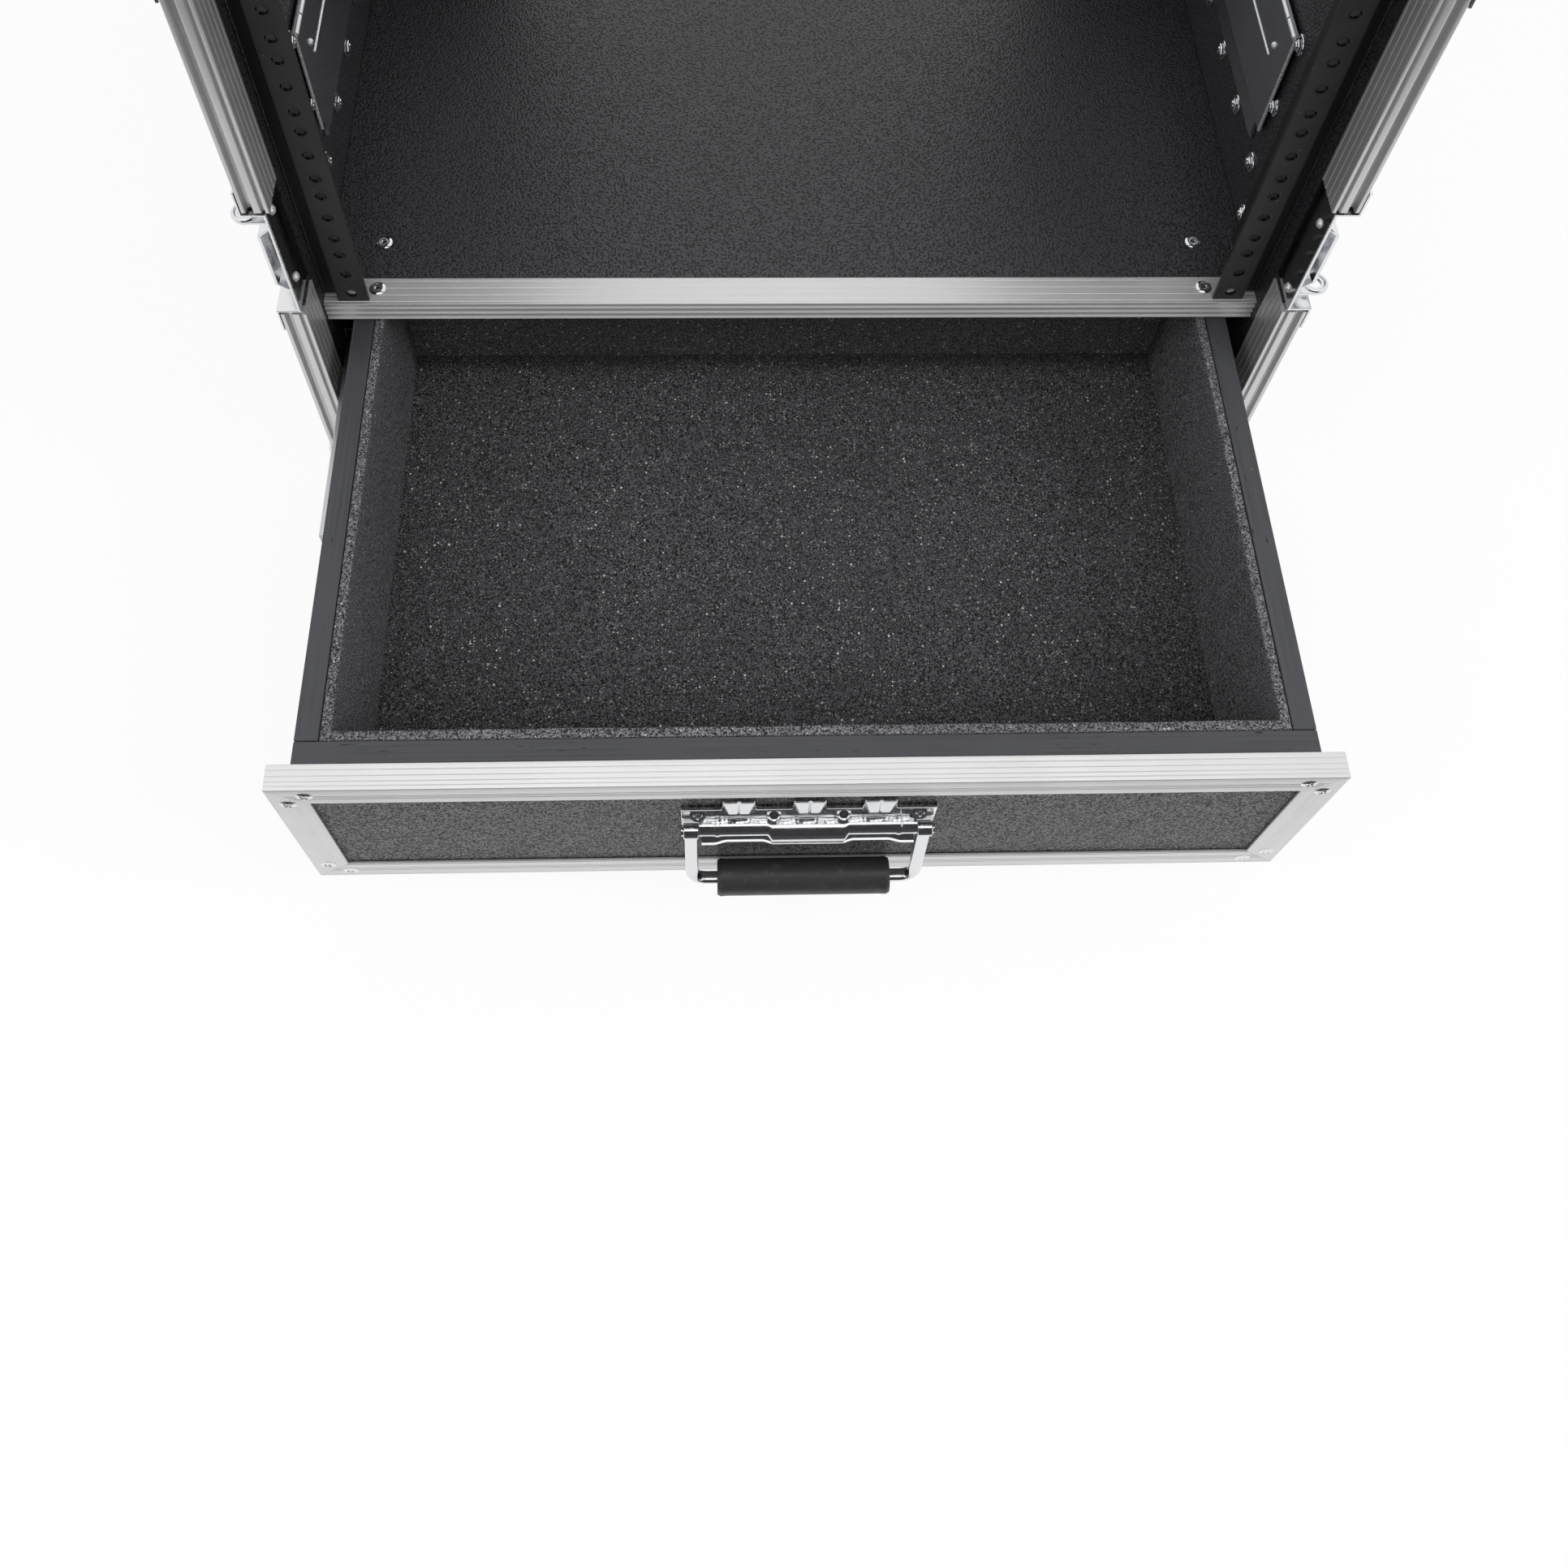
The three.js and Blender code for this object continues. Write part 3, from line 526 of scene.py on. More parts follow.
def new_material(name, **values):
    """A material with its Principled shader's plain values set. Returns its tree, the shader and the
    object coordinates."""
    material = bpy.data.materials.new(name)
    material.use_nodes = True
    tree = material.node_tree
    shader = tree.nodes["Principled BSDF"]
    for key, value in values.items():
        shader.inputs[key.replace("_", " ")].default_value = value
    return tree, shader, tree.nodes.new("ShaderNodeTexCoord").outputs["Object"]


def finish_with(tree, shader, tone, height, distance, strength=1.0, rough=None):
    """Feeds a colour, a relief and, where one is given, a roughness to the shader."""
    tree.links.new(tone, shader.inputs["Base Color"])
    if rough:
        tree.links.new(rough, shader.inputs["Roughness"])
    bump = wire(tree, "ShaderNodeBump", {"Height": height, "Distance": distance, "Strength": strength})
    tree.links.new(bump.outputs[0], shader.inputs["Normal"])


# Shader groups: each function gives the outputs for the inputs

def pebble_grain(tree, given):
    """Pebbled leather grain: noise one cell wide, whose low spots are pits and whose high spots run
    together as worms. Height is the relief; the pits' output is painted shade in the pits, and the worms'
    output a painted highlight on the worms."""
    per_metre = maths(tree, "DIVIDE", 1.0, given["Cell"])
    cells = noise(tree, given["Vector"], per_metre, 1.0, 0.35)
    fine = noise(tree, given["Vector"], maths(tree, "MULTIPLY", per_metre, 3.1), 1.0)
    relief = ranged(tree, cells, 0.3, 0.62)
    return {
        "Height": maths(tree, "ADD", relief, maths(tree, "MULTIPLY", fine, 0.25)),
        # Painted shade darkens the pits, and a painted highlight lightens the worms.
        "Crease": ranged(tree, cells, 0.34, 0.52, 1.0, 0.0),
        "Crown": ranged(tree, cells, 0.5, 0.66),
    }


def drawn_lines(tree, given):
    """Fine drawn lines: noise squeezed by the stretch of each axis. Line is the shade of a line,
    Patch a slow change over the metal."""
    squeezed = stretched(tree, given["Vector"], given["Stretch"])
    return {
        "Line": noise(tree, squeezed, 1.0, 3.0, 0.6),
        "Patch": noise(tree, given["Vector"], 23.0, 3.0, 0.55),
    }


def pale_specks(tree, given):
    """Pale specks: the middle of random Voronoi cells, the more the larger the share. A cell's colour
    draws whether it is chosen, how far its speck reaches and how bright it is."""
    per_metre = maths(tree, "DIVIDE", 1.0, given["Cell"])
    cells = wire(tree, "ShaderNodeTexVoronoi", {"Vector": given["Vector"], "Scale": per_metre}).outputs
    draw = wire(tree, "ShaderNodeSeparateColor", {0: cells["Color"]}).outputs
    chosen = maths(tree, "LESS_THAN", draw[0], given["Share"])
    reach = maths(tree, "ADD", maths(tree, "MULTIPLY", draw[1], 0.32), 0.1)
    across = maths(tree, "DIVIDE", cells["Distance"], maths(tree, "MULTIPLY", reach, 0.5))
    inside = maths(tree, "SUBTRACT", 2.0, across, True)
    bright = maths(tree, "MULTIPLY", inside, maths(tree, "ADD", draw[2], 0.15))
    return {"Speck": maths(tree, "MULTIPLY", bright, chosen)}


GROUPS = {
    "Pebble Grain": (pebble_grain, {"Vector": None, "Cell": 0.002}),
    "Drawn Lines": (drawn_lines, {"Vector": None, "Stretch": (1.0, 1.0, 1.0)}),
    "Pale Specks": (pale_specks, {"Vector": None, "Cell": 0.001, "Share": 0.3}),
}


def build_groups():
    """Shader groups with their named inputs and outputs."""
    for name, (outputs_of, inputs) in GROUPS.items():
        tree = bpy.data.node_groups.new(name, "ShaderNodeTree")
        for socket, value in inputs.items():
            kind = "NodeSocketFloat" if isinstance(value, float) else "NodeSocketVector"
            made = tree.interface.new_socket(socket, in_out="INPUT", socket_type=kind)
            if value is not None:
                made.default_value = value
        outputs = outputs_of(tree, tree.nodes.new("NodeGroupInput").outputs)
        for socket in outputs:
            tree.interface.new_socket(socket, in_out="OUTPUT", socket_type="NodeSocketFloat")
        wire(tree, "NodeGroupOutput", outputs)


# Finishes

def pebbled(name, colour, cell, depth, gloss, painted_highlight):
    """Pebbled laminate: painted shade in the pits, worms lighter by a painted highlight of the given
    strength, soft gloss on the high spots.
    """
    tree, shader, place = new_material(name, Roughness=gloss)
    grain = grouped(tree, "Pebble Grain", Vector=place, Cell=cell)
    patch = noise(tree, place, 9.0, 3.0)
    tone = mixed(tree, patch, shade(colour, 0.92), shade(colour, 1.12))
    # Painted highlight on the worms, then painted shade in the pits.
    tone = mixed(tree, grain["Crown"], tone, shade(colour, 1 + painted_highlight))
    tone = mixed(tree, grain["Crease"], tone, shade(colour, 0.22))
    rough = ranged(tree, grain["Height"], 0.0, 1.1, gloss + 0.25, gloss - 0.06)
    finish_with(tree, shader, tone, grain["Height"], depth, rough=rough)


def bare_metal(name, colour, roughness, stretch, relief, spread, metallic):
    """Bare metal with fine drawn lines along the axis that is stretched least. The roughness changes
    by the spread from line to line and from patch to patch."""
    tree, shader, place = new_material(name, Metallic=metallic, Roughness=roughness)
    drawn = grouped(tree, "Drawn Lines", Vector=place, Stretch=stretch)
    tone = mixed(tree, drawn["Line"], shade(colour, 0.9), shade(colour))
    tone = mixed(tree, ranged(tree, drawn["Patch"], 0.35, 0.7), tone, shade(colour, 0.95))
    rough = maths(tree, "ADD", ranged(tree, drawn["Line"], 0.2, 0.8, -spread, spread), roughness)
    rough = maths(tree, "ADD", rough, ranged(tree, drawn["Patch"], 0.3, 0.7, 0.0, spread))
    finish_with(tree, shader, tone, drawn["Line"], relief, rough=rough)


def powder_coat(name, base):
    """Dark powder coat: fine orange-peel bumps and a few rubbed specks."""
    tree, shader, place = new_material(name, Roughness=0.52, Metallic=0.0)
    peel = noise(tree, place, 1900.0, 2.0)
    specks = grouped(tree, "Pale Specks", Vector=place, Cell=0.0028, Share=0.12)
    tone = mixed(tree, noise(tree, place, 60.0, 4.0), shade(base, 0.75), shade(base, 1.3))
    rubbed = ranged(tree, specks["Speck"], 0.45, 0.8, 0.0, 0.3)
    tone = mixed(tree, rubbed, tone, (0.2, 0.2, 0.185, 1))
    finish_with(tree, shader, tone, peel, 0.00006)


def bare_chips(tree, place, tone):
    """A few chips where the paint of the drawer's boards is off and the wood shows."""
    worn = ranged(tree, noise(tree, place, 75.0, 2.0), 0.765, 0.79)
    return mixed(tree, worn, tone, (0.16, 0.075, 0.035, 1))


def edge_wear(tree, place, tone):
    """Pale specks where the stain is rubbed off the battens' front outer edge."""
    axes = axes_of(tree, place)
    low, high = box("rail_batten_right")
    outer = maths(tree, "SUBTRACT", float(high[0]), maths(tree, "ABSOLUTE", axes[0]))
    front = maths(tree, "SUBTRACT", axes[1], float(low[1]))
    near_outer = ranged(tree, outer, 0.0002, 0.0009, 1.0, 0.0)
    near_front = ranged(tree, front, 0.0002, 0.0009, 1.0, 0.0)
    rubbed = ranged(tree, noise(tree, place, 1300.0, 4.0), 0.4, 0.66)
    worn = maths(tree, "MULTIPLY", maths(tree, "MULTIPLY", near_outer, near_front), rubbed)
    return mixed(tree, worn, tone, (0.3, 0.295, 0.29, 1))


def timber(name, base, fibre, gap, wear):
    """Painted or stained plywood: long faint fibres, small dark voids and its kind of wear."""
    tree, shader, place = new_material(name, Roughness=0.58)
    fibres = grouped(tree, "Drawn Lines", Vector=place, Stretch=fibre)
    tone = mixed(tree, ranged(tree, fibres["Line"], 0.3, 0.7), shade(base, 0.72), shade(base, 1.25))
    tone = mixed(tree, ranged(tree, fibres["Patch"], 0.3, 0.7), tone, shade(base, 1.1))
    voids = ranged(tree, noise(tree, stretched(tree, place, gap), 1.0, 1.0), 0.72, 0.78)
    tone = wear(tree, place, mixed(tree, voids, tone, shade(base, 0.2)))
    finish_with(tree, shader, tone, maths(tree, "SUBTRACT", fibres["Line"], voids), 0.00008)


def closed_foam(name, lightness_with_painted_light):
    """Black closed-cell foam with dense pale specks of two sizes and a granular surface, darker towards
    the back of the drawer, which the shelf shades."""
    tree, shader, place = new_material(name, Roughness=0.95, Specular_IOR_Level=0.25)
    cell = finishes().speck_cell
    small = grouped(tree, "Pale Specks", Vector=place, Cell=cell, Share=0.6)["Speck"]
    large = grouped(tree, "Pale Specks", Vector=place, Cell=cell * 1.6, Share=0.3)["Speck"]
    grain = noise(tree, place, 1 / finishes().foam_cell, 3.0, 0.6)
    cloud = noise(tree, place, 14.0, 3.0)
    # The lightness scales the foam's colour: the strips get twice the floor's, as painted light on the
    # walls.
    base = [part * lightness_with_painted_light for part in finishes().foam]
    tone = mixed(tree, ranged(tree, grain, 0.4, 0.62), shade(base, 0.15), shade(base, 2.4))
    tone = mixed(tree, ranged(tree, cloud, 0.35, 0.65, 0.0, 0.2), tone, shade(base, 0.8))
    small_light = maths(tree, "MULTIPLY", small, 0.4)
    large_light = maths(tree, "MULTIPLY", large, 0.75)
    bright = maths(tree, "MAXIMUM", small_light, large_light)
    tone = mixed(tree, bright, tone, shade(finishes().foam_speck))
    shaded = ranged(tree, axes_of(tree, place)[1], -0.13, -0.116, 0.0, 0.62)
    tone = mixed(tree, shaded, tone, (0.006, 0.006, 0.0065, 1))
    finish_with(tree, shader, tone, maths(tree, "ADD", grain, small), 0.00025, 0.8)


def moulded_rubber(name, base):
    """Matt black rubber with faint moulding grain and dust."""
    tree, shader, place = new_material(name, Roughness=0.38)
    dust = ranged(tree, noise(tree, place, 260.0, 4.0), 0.55, 0.8)
    tone = mixed(tree, dust, shade(base), shade(base, 2.0))
    rough = ranged(tree, noise(tree, place, 55.0, 3.0), 0.3, 0.7, 0.36, 0.5)
    finish_with(tree, shader, tone, noise(tree, place, 2400.0, 1.0), 0.00003, rough=rough)


def build_finishes():
    """Every material of the case, under the name by which the pieces ask for it."""
    look = finishes()
    even = (300, 300, 300)
    # The last number is the strength of the worms' painted highlight.
    pebbled("Panel Laminate", look.laminate, look.laminate_cell, 0.00022, 0.36, 0.5)
    pebbled("Drawer Front Laminate", look.front_laminate, look.front_cell, 0.00018, 0.48, 1.6)
    for axis, stretch in (("X", (4, 2200, 2200)), ("Y", (2200, 4, 2200)), ("Z", (2200, 2200, 4))):
        bare_metal("Satin Aluminium " + axis, look.aluminium, 0.3, stretch, 0.000012, 0.06, 0.75)
    bare_metal("Matt Aluminium", look.strip, 0.34, (4, 1800, 1800), 0.00001, 0.05, 0.65)
    bare_metal("Bright Zinc", look.zinc, 0.12, even, 0.000006, 0.06, 1.0)
    bare_metal("Dull Zinc", look.zinc, 0.26, even, 0.000006, 0.06, 0.65)
    # Dark threads as painted shade in the rack holes.
    bare_metal("Blackened Thread", look.thread, 0.25, even, 0.000006, 0.06, 1.0)
    bare_metal("Runner Steel", look.runner, 0.3, (1500, 5, 1500), 0.00001, 0.08, 1.0)
    powder_coat("Rail Powder Coat", look.coat)
    timber("Painted Ply X", look.board, (7, 900, 900), (90, 700, 700), bare_chips)
    timber("Painted Ply Y", look.board, (900, 7, 900), (700, 90, 700), bare_chips)
    timber("Stained Batten", look.batten, (900, 900, 7), (700, 700, 90), edge_wear)
    # Foam strips: a lighter copy of the same foam, painted light on the walls.
    closed_foam("Foam Floor", 1.3)
    closed_foam("Foam Strips", 2.6)
    moulded_rubber("Grip Rubber", look.grip)


# Profiles

def grooves(start, end, places, width, depth, place):
    """Outline points of a straight face with shallow grooves centred at the given distances.
    place(along, depth) gives a point that lies depth below the face."""
    way = math.copysign(1.0, end - start)
    points = []
    for centre in places:
        for share, sink in ((-0.5, 0), (-0.25, depth), (0.25, depth), (0.5, 0)):
            points.append(place(centre + way * width * share, sink))
    return points


def middles(start, end, count):
    """Middles of equal shares of a length."""
    return [start + (end - start) * (i + 0.5) / count for i in range(count)]


def extrusion_outline(place):
    """Front extrusion as distance in from the outer face and depth behind the front plane."""
    e = edging()
    wall_gap = 0.3 * MM
    slope = 0.4 * MM
    inner = outer_x - inner_x + e.sheet + wall_gap
    groove_end = e.groove_at + e.groove_width
    step_end = e.step_at + e.step_width
    inner_ribs = middles(e.step_depth, e.inner_leg, EDGE_RIBS)
    outer_ribs = middles(e.leg, e.step_depth, EDGE_RIBS)
    points = [
        (0, 0), (e.groove_at, 0),
        (e.groove_at + slope, e.groove_depth), (groove_end - slope, e.groove_depth), (groove_end, 0),
        (e.step_at, 0), (e.step_at + slope, e.step_depth), (step_end - slope, e.step_depth), (step_end, 0),
        (inner, 0),
        *grooves(e.step_depth, e.inner_leg, inner_ribs, e.rib, e.rib_depth, lambda v, d: (inner - d, v)),
        (inner, e.inner_leg), (inner - e.sheet, e.inner_leg),
        (inner - e.sheet, e.web), (e.sheet, e.web), (e.sheet, e.leg), (0, e.leg),
        *grooves(e.leg, e.step_depth, outer_ribs, e.rib, e.rib_depth, lambda v, d: (d, v)),
    ]
    return rounded([place(u, v) for u, v in points], e.edge, 3)


def angle_outline(place):
    """Edge angle as distances in from its two outer faces."""
    e = edging()
    ribs = middles(0, e.leg, EDGE_RIBS)
    points = [
        (0, 0),
        *grooves(0, e.leg, ribs, e.rib, e.rib_depth, lambda u, d: (u, d)),
        (e.leg, 0), (e.leg, e.sheet), (e.sheet, e.sheet), (e.sheet, e.leg), (0, e.leg),
        *grooves(e.leg, 0, ribs[::-1], e.rib, e.rib_depth, lambda w, d: (d, w)),
    ]
    radius = np.full(len(points), e.edge)
    radius[0] = e.sheet * 0.9
    return rounded([place(u, w) for u, w in points], radius, 4)


def under_balls(part):
    """Points past a corner ball's reach in its corner are drawn in to its inside along their radius."""
    points, faces = part
    points = points.copy()
    clear = 0.3 * MM
    reach = BALL_RADIUS - BALL_SHEET - clear
    for s in (-1, 1):
        for y, d in ((front_y, -1), (back_y, 1)):
            for z, t in ((low_z, -1), (high_z, 1)):
                way = np.array([s, d, t])
                centre = np.array([s * outer_x, y, z]) - way * BALL_INSET
                local = (points - centre) * way
                distance = np.linalg.norm(local, axis=1)
                far = (local.min(1) > -WELD) & (distance > reach)
                local[far] *= (reach / distance[far])[:, None]
                points[far] = local[far] * way + centre
    return points, faces


def mitred(outline, axis, low, high, cut_low, cut_high):
    """A member whose mitred ends bend with the corner balls: rings lie close together near such an
    end and keep at least as far from it as the mitre does."""
    first_ring = 1.5 * MM
    rings = [low]
    if cut_low:
        rings += list(np.linspace(low + first_ring, low + BALL_INSET, 6))
    if cut_high:
        rings += list(np.linspace(high - BALL_INSET, high - first_ring, 6))
    points, faces = prism(outline, axis, rings + [high])
    first, second, third = SPANS[axis]
    along = points[:, third]
    if cut_low:
        along = np.maximum(along, low + cut_low(points[:, first], points[:, second]))
    if cut_high:
        along = np.minimum(along, high - cut_high(points[:, first], points[:, second]))
    points[:, third] = along
    return under_balls((points, faces))


def upright_mitre(width, gap):
    """Mitre of an upright: a point's distance in from the outer face at width, plus a gap."""
    return lambda x, y: width - np.abs(x) + gap


def beam_mitre(edge, gap):
    """Mitre of a member along X: a point's distance from its outer edge, plus a gap."""
    return lambda y, z: np.abs(z - edge) + gap


def add_bar(node, part, axis, body="case"):
    """An aluminium bar that stands for its node."""
    add_piece(node + "_bar", part, body, "Satin Aluminium " + axis, node)


def build_front_extrusions():
    """Left and right bars, each parted at the latch, and the top and bottom bars."""
    gap = 0.3 * MM
    cut = upright_mitre(outer_x, gap)
    for side, s in SIDES:
        outline = extrusion_outline(lambda u, v: (s * (outer_x - u), front_y + v))
        node = f"front_extrusion_{side}_"
        parting = box(node + "lower")[1][2], box(node + "upper")[0][2]
        add_bar(node + "lower", mitred(outline, "z", low_z, parting[0], cut, None), "Z")
        add_bar(node + "upper", mitred(outline, "z", parting[1], high_z, None, cut), "Z")
    for level, edge, way in case_levels:
        outline = extrusion_outline(lambda u, v: (front_y + v, edge + way * u))
        cut = beam_mitre(edge, gap)
        add_bar("front_extrusion_" + level, mitred(outline, "x", -outer_x, outer_x, cut, cut), "X")


def build_edge_angles():
    """Angles along the four long edges, and the frame of four mitred angles round the back."""
    for side, s in SIDES:
        for level, edge, way in case_levels:
            node = f"edge_angle_{level}_{side}"
            low, high = box(node)
            outline = angle_outline(lambda u, w: (s * (outer_x - u), edge + way * w))
            add_bar(node, prism(outline, "y", (low[1], high[1])), "Y")
    gap = 0.05 * MM
    bars = []
    for _, s in SIDES:
        outline = angle_outline(lambda u, v: (s * (outer_x - u), back_y - v))
        cut = upright_mitre(outer_x, gap)
        bars.append(mitred(outline, "z", low_z, high_z, cut, cut))
    for _, edge, way in case_levels:
        outline = angle_outline(lambda w, v: (back_y - v, edge + way * w))
        cut = beam_mitre(edge, gap)
        bars.append(mitred(outline, "x", -outer_x, outer_x, cut, cut))
    add_piece("back_frame_bars", joined(*bars), "case", "Satin Aluminium Z", "back_edge_frame")


def build_shelf_strip():
    """Ribbed angle over the front edge of the shelf: lines on its top, broad bands on its front."""
    low, high = box("shelf_edge_strip")
    sheet = edging().sheet
    depth = high[1] - low[1]
    height = high[2] - low[2]
    top_lines = [depth * share for share in (0.86, 0.60, 0.34, 0.10)]
    front_bands = [height * share for share in (0.18, 0.5, 0.82)]
    line_width, line_depth = mm(1.1, 0.22)
    band_width, band_depth = mm(3.4, 1.1)
    points = [
        (0, height), (sheet, height), (sheet, sheet), (depth, sheet), (depth, 0),
        *grooves(depth, 0, top_lines, line_width, line_depth, lambda y, d: (y, d)),
        (0, 0),
        *grooves(0, height, front_bands, band_width, band_depth, lambda z, d: (d, z)),
    ]
    outline = rounded([(low[1] + y, high[2] - z) for y, z in points], 0.45 * MM, 4)
    part = prism(outline, "x", (low[0], high[0]))
    add_piece("shelf_strip_bar", part, "case", "Matt Aluminium", "shelf_edge_strip")


def drawer_edges():
    """Half width, lowest and highest edge of the drawer's frame."""
    low_edge = box("drawer_frame_bottom")[0][2]
    high_edge = box("drawer_frame_top")[1][2]
    return box("drawer_frame_right")[1][0], low_edge, high_edge


def build_drawer_frame():
    """Four mitred angles round the drawer front: fine lines on the edge, three in the face's middle."""
    frame_x, low_edge, high_edge = drawer_edges()
    left_low, left_high = box("drawer_frame_left")
    bottom_low, bottom_high = box("drawer_frame_bottom")
    frame_y = left_low[1]
    depth = left_high[1] - frame_y
    face = bottom_high[2] - bottom_low[2]
    sheet = edging().sheet
    line, line_depth = mm(0.42, 0.16)
    bevel_width, bevel_depth = mm(0.8, 0.25)
    bevel_start = 1.1 * MM
    gap = 0.06 * MM
    overlap = 0.24 * MM
    face_lines = [face * share for share in (0.44, 0.54, 0.64)]
    edge_lines = [depth * share for share in (0.78, 0.55, 0.34, 0.17)]
    points = [
        (0, 0),
        *grooves(0, face, face_lines, line, line_depth, lambda u, d: (u, d)),
        (face - bevel_start, 0), (face - bevel_width, bevel_depth), (face, bevel_depth),
        (face, sheet), (sheet, sheet), (sheet, depth), (0, depth),
        *grooves(depth, 0, edge_lines, line, line_depth * 0.5, lambda v, d: (d, v)),
    ]
    groove_radius, corner_radius = mm(0.12, 0.35)
    radius = np.full(len(points), groove_radius)
    radius[0] = corner_radius
    for side, s in SIDES:
        outline = rounded([(s * (frame_x - u), frame_y + v) for u, v in points], radius)
        cut = upright_mitre(frame_x, gap)
        node = "drawer_frame_" + side
        low, high = box(node)
        part = prism(outline, "z", (low[2] - overlap, high[2] + overlap), cut, cut)
        add_bar(node, part, "Z", "drawer")
    for level, edge, way in (("bottom", low_edge, 1), ("top", high_edge, -1)):
        outline = rounded([(frame_y + v, edge + way * u) for u, v in points], radius)
        cut = beam_mitre(edge, gap)
        part = prism(outline, "x", (-frame_x, frame_x), cut, cut)
        add_bar("drawer_frame_" + level, part, "X", "drawer")


# Rack rails

def hole_levels():
    """Heights of the holes above the rail's foot: three to a rack unit."""
    low, high = box("rack_rail_left")
    gap = 0.3 * MM
    foot = low[2] - gap
    units = int(round((high[2] - foot) / RACK_UNIT))
    return [foot + unit * RACK_UNIT + rise for unit in range(units) for rise in HOLE_RISES]


def square_ring(low, high, count):
    """Points round a rectangle, count to a side, starting at its lowest corner."""
    share = np.arange(count) / count
    width, height = high[0] - low[0], high[1] - low[1]
    fixed = np.full(count, 1.0)
    x = np.concatenate([low[0] + width * share, high[0] * fixed, high[0] - width * share, low[0] * fixed])
    z = np.concatenate([low[1] * fixed, low[1] + height * share, high[1] * fixed, high[1] - height * share])
    return np.stack([x, z], -1)


def rail_part(s):
    """Front face of tiles, each a grid from a rectangle's edge to a threaded hole's rim and down its
    wall, and the flange and the face's free edge as profiles carried along the same levels."""
    low, high = box("rack_rail_right")
    count = 6
    bend, nose_radius, end_radius = mm(1.6, 0.3, 0.4)
    rims = mm(1.2, 0.35)
    thread_depth, chamfer = mm(0.22, 0.15)
    radius = hardware().hole / 2
    holes = hole_levels()
    borders = [low[2]] + [(a + b) / 2 for a, b in zip(holes[:-1], holes[1:])] + [high[2]]
    spans = list(zip(borders[:-1], borders[1:]))
    face_low, face_high = low[0] + nose_radius, high[0] - bend
    front, back = low[1], low[1] + RAIL_SHEET
    turn = (np.arange(4 * count) / (4 * count)) * TURN - 0.75 * math.pi
    circle = np.stack([np.cos(turn), np.sin(turn)], -1)
    depths = np.linspace(chamfer, RAIL_SHEET - chamfer, 9)
    sheets = []
    for hole, (under, over) in zip(holes, spans):
        edge = square_ring((face_low, under), (face_high, over), count)
        middle = np.array([(low[0] + high[0]) / 2, hole])
        rings = [(edge, front)] + [(middle + circle * (radius + rim), front) for rim in rims]
        for number, depth in enumerate(depths):
            rings.append((middle + circle * (radius - thread_depth * (number % 2)), front + depth))
        rings += [(middle + circle * (radius + rims[1]), back), (edge, back)]
        grid = [np.stack([ring[:, 0], np.full(len(ring), y), ring[:, 1]], -1) for ring, y in rings]
        sheets.append(surface(np.stack(grid), wrap_columns=True))
    levels = [under + (over - under) * i / count for under, over in spans for i in range(count)] + [high[2]]
    inner_face = high[0] - RAIL_SHEET
    flange = rounded([(face_high, front), (high[0], front), (high[0], high[1]),
                      (inner_face, high[1]), (inner_face, back), (face_high, back)],
                     (0, bend, end_radius, end_radius, 0, 0), 5)
    nose = rounded([(face_low, front), (low[0], front), (low[0], back), (face_low, back)],
                   (0, nose_radius, nose_radius, 0), 3)
    for strip in (flange, nose):
        grid = [np.stack([strip[:, 0], strip[:, 1], np.full(len(strip), z)], -1) for z in levels]
        sheets.append(surface(np.stack(grid)))
    return moved(joined(*sheets), scale=(s, 1, 1))


def build_rails():
    """Both rails, and the zigzag rings of thread in their holes."""
    for side, s in SIDES:
        node = "rack_rail_" + side
        add_piece(node + "_drilled", rail_part(s), "case", "Rail Powder Coat", node, 50)
    low, high = box("rack_rail_right")
    radius = hardware().hole / 2
    crest, tooth, pitch, start, end = mm(0.1, 0.25, 0.22, 0.2, 1.8)
    profile = [(radius - crest - tooth * (i % 2), start + pitch * i) for i in range(8)]
    profile += [(radius + crest, end), (radius + crest, start)]
    threads = []
    for _, s in SIDES:
        for hole in hole_levels():
            place = (s * (low[0] + high[0]) / 2, low[1], hole)
            threads.append(lathe(profile, 20, "y", place, closed=True))
    # The threads' dark colour is painted shade inside the holes.
    add_set("rack_hole_threads", threads, "case", "Blackened Thread")


# Fasteners

def head_profile(radius, height):
    """A domed head's profile from its middle to its rim: the height falls as 1 - share^2.5."""
    share = np.linspace(0, 1, 9)
    dome = height * (1 - share ** 2.5) + 0.12 * height
    return list(zip(radius * share, dome)) + [(radius, 0), (0, 0)]


def pop_rivet(radius):
    """Ring-shaped head with a sunk middle, which the pin's dark disc fills as painted shade."""
    profile = (
        (0, 0.1), (0.2, 0.1), (0.26, 0.9), (0.45, 1.25), (0.8, 0.95), (1, 0.35), (1, -0.1), (0, -0.1)
    )
    return lathe([(radius * share, rise * MM) for share, rise in profile], 28)


def cross_screw(radius):
    """Low dome on a polar grid whose middle is sunk along two crossed slots."""
    rings, columns = 16, 48
    share = np.linspace(0, 1, rings)[:, None]
    angle = (np.arange(columns) * TURN / columns)[None, :]
    x = share * radius * np.cos(angle)
    y = share * radius * np.sin(angle)
    slot_half, slot_end, slot_fade = 0.17 * radius, 0.58 * radius, 0.45 * radius
    slot = np.zeros_like(x)
    for along, across in ((y, x), (x, y)):
        beside = ease(-np.abs(across), -slot_half, -slot_half * 0.4)
        slot = np.maximum(slot, beside * ease(-np.abs(along), -slot_end, -slot_fade))
    dome, rim = mm(0.75, 0.1)
    z = dome * (1 - share ** 2.2) + rim - slot * dome
    top = np.stack([x, y, z], -1)
    base = np.stack([x[-1], y[-1], np.full(columns, -rim)], -1)
    points, faces = surface(np.concatenate([top, base[None]]), wrap_columns=True)
    return points, faces + [np.arange(columns)[None] + rings * columns]


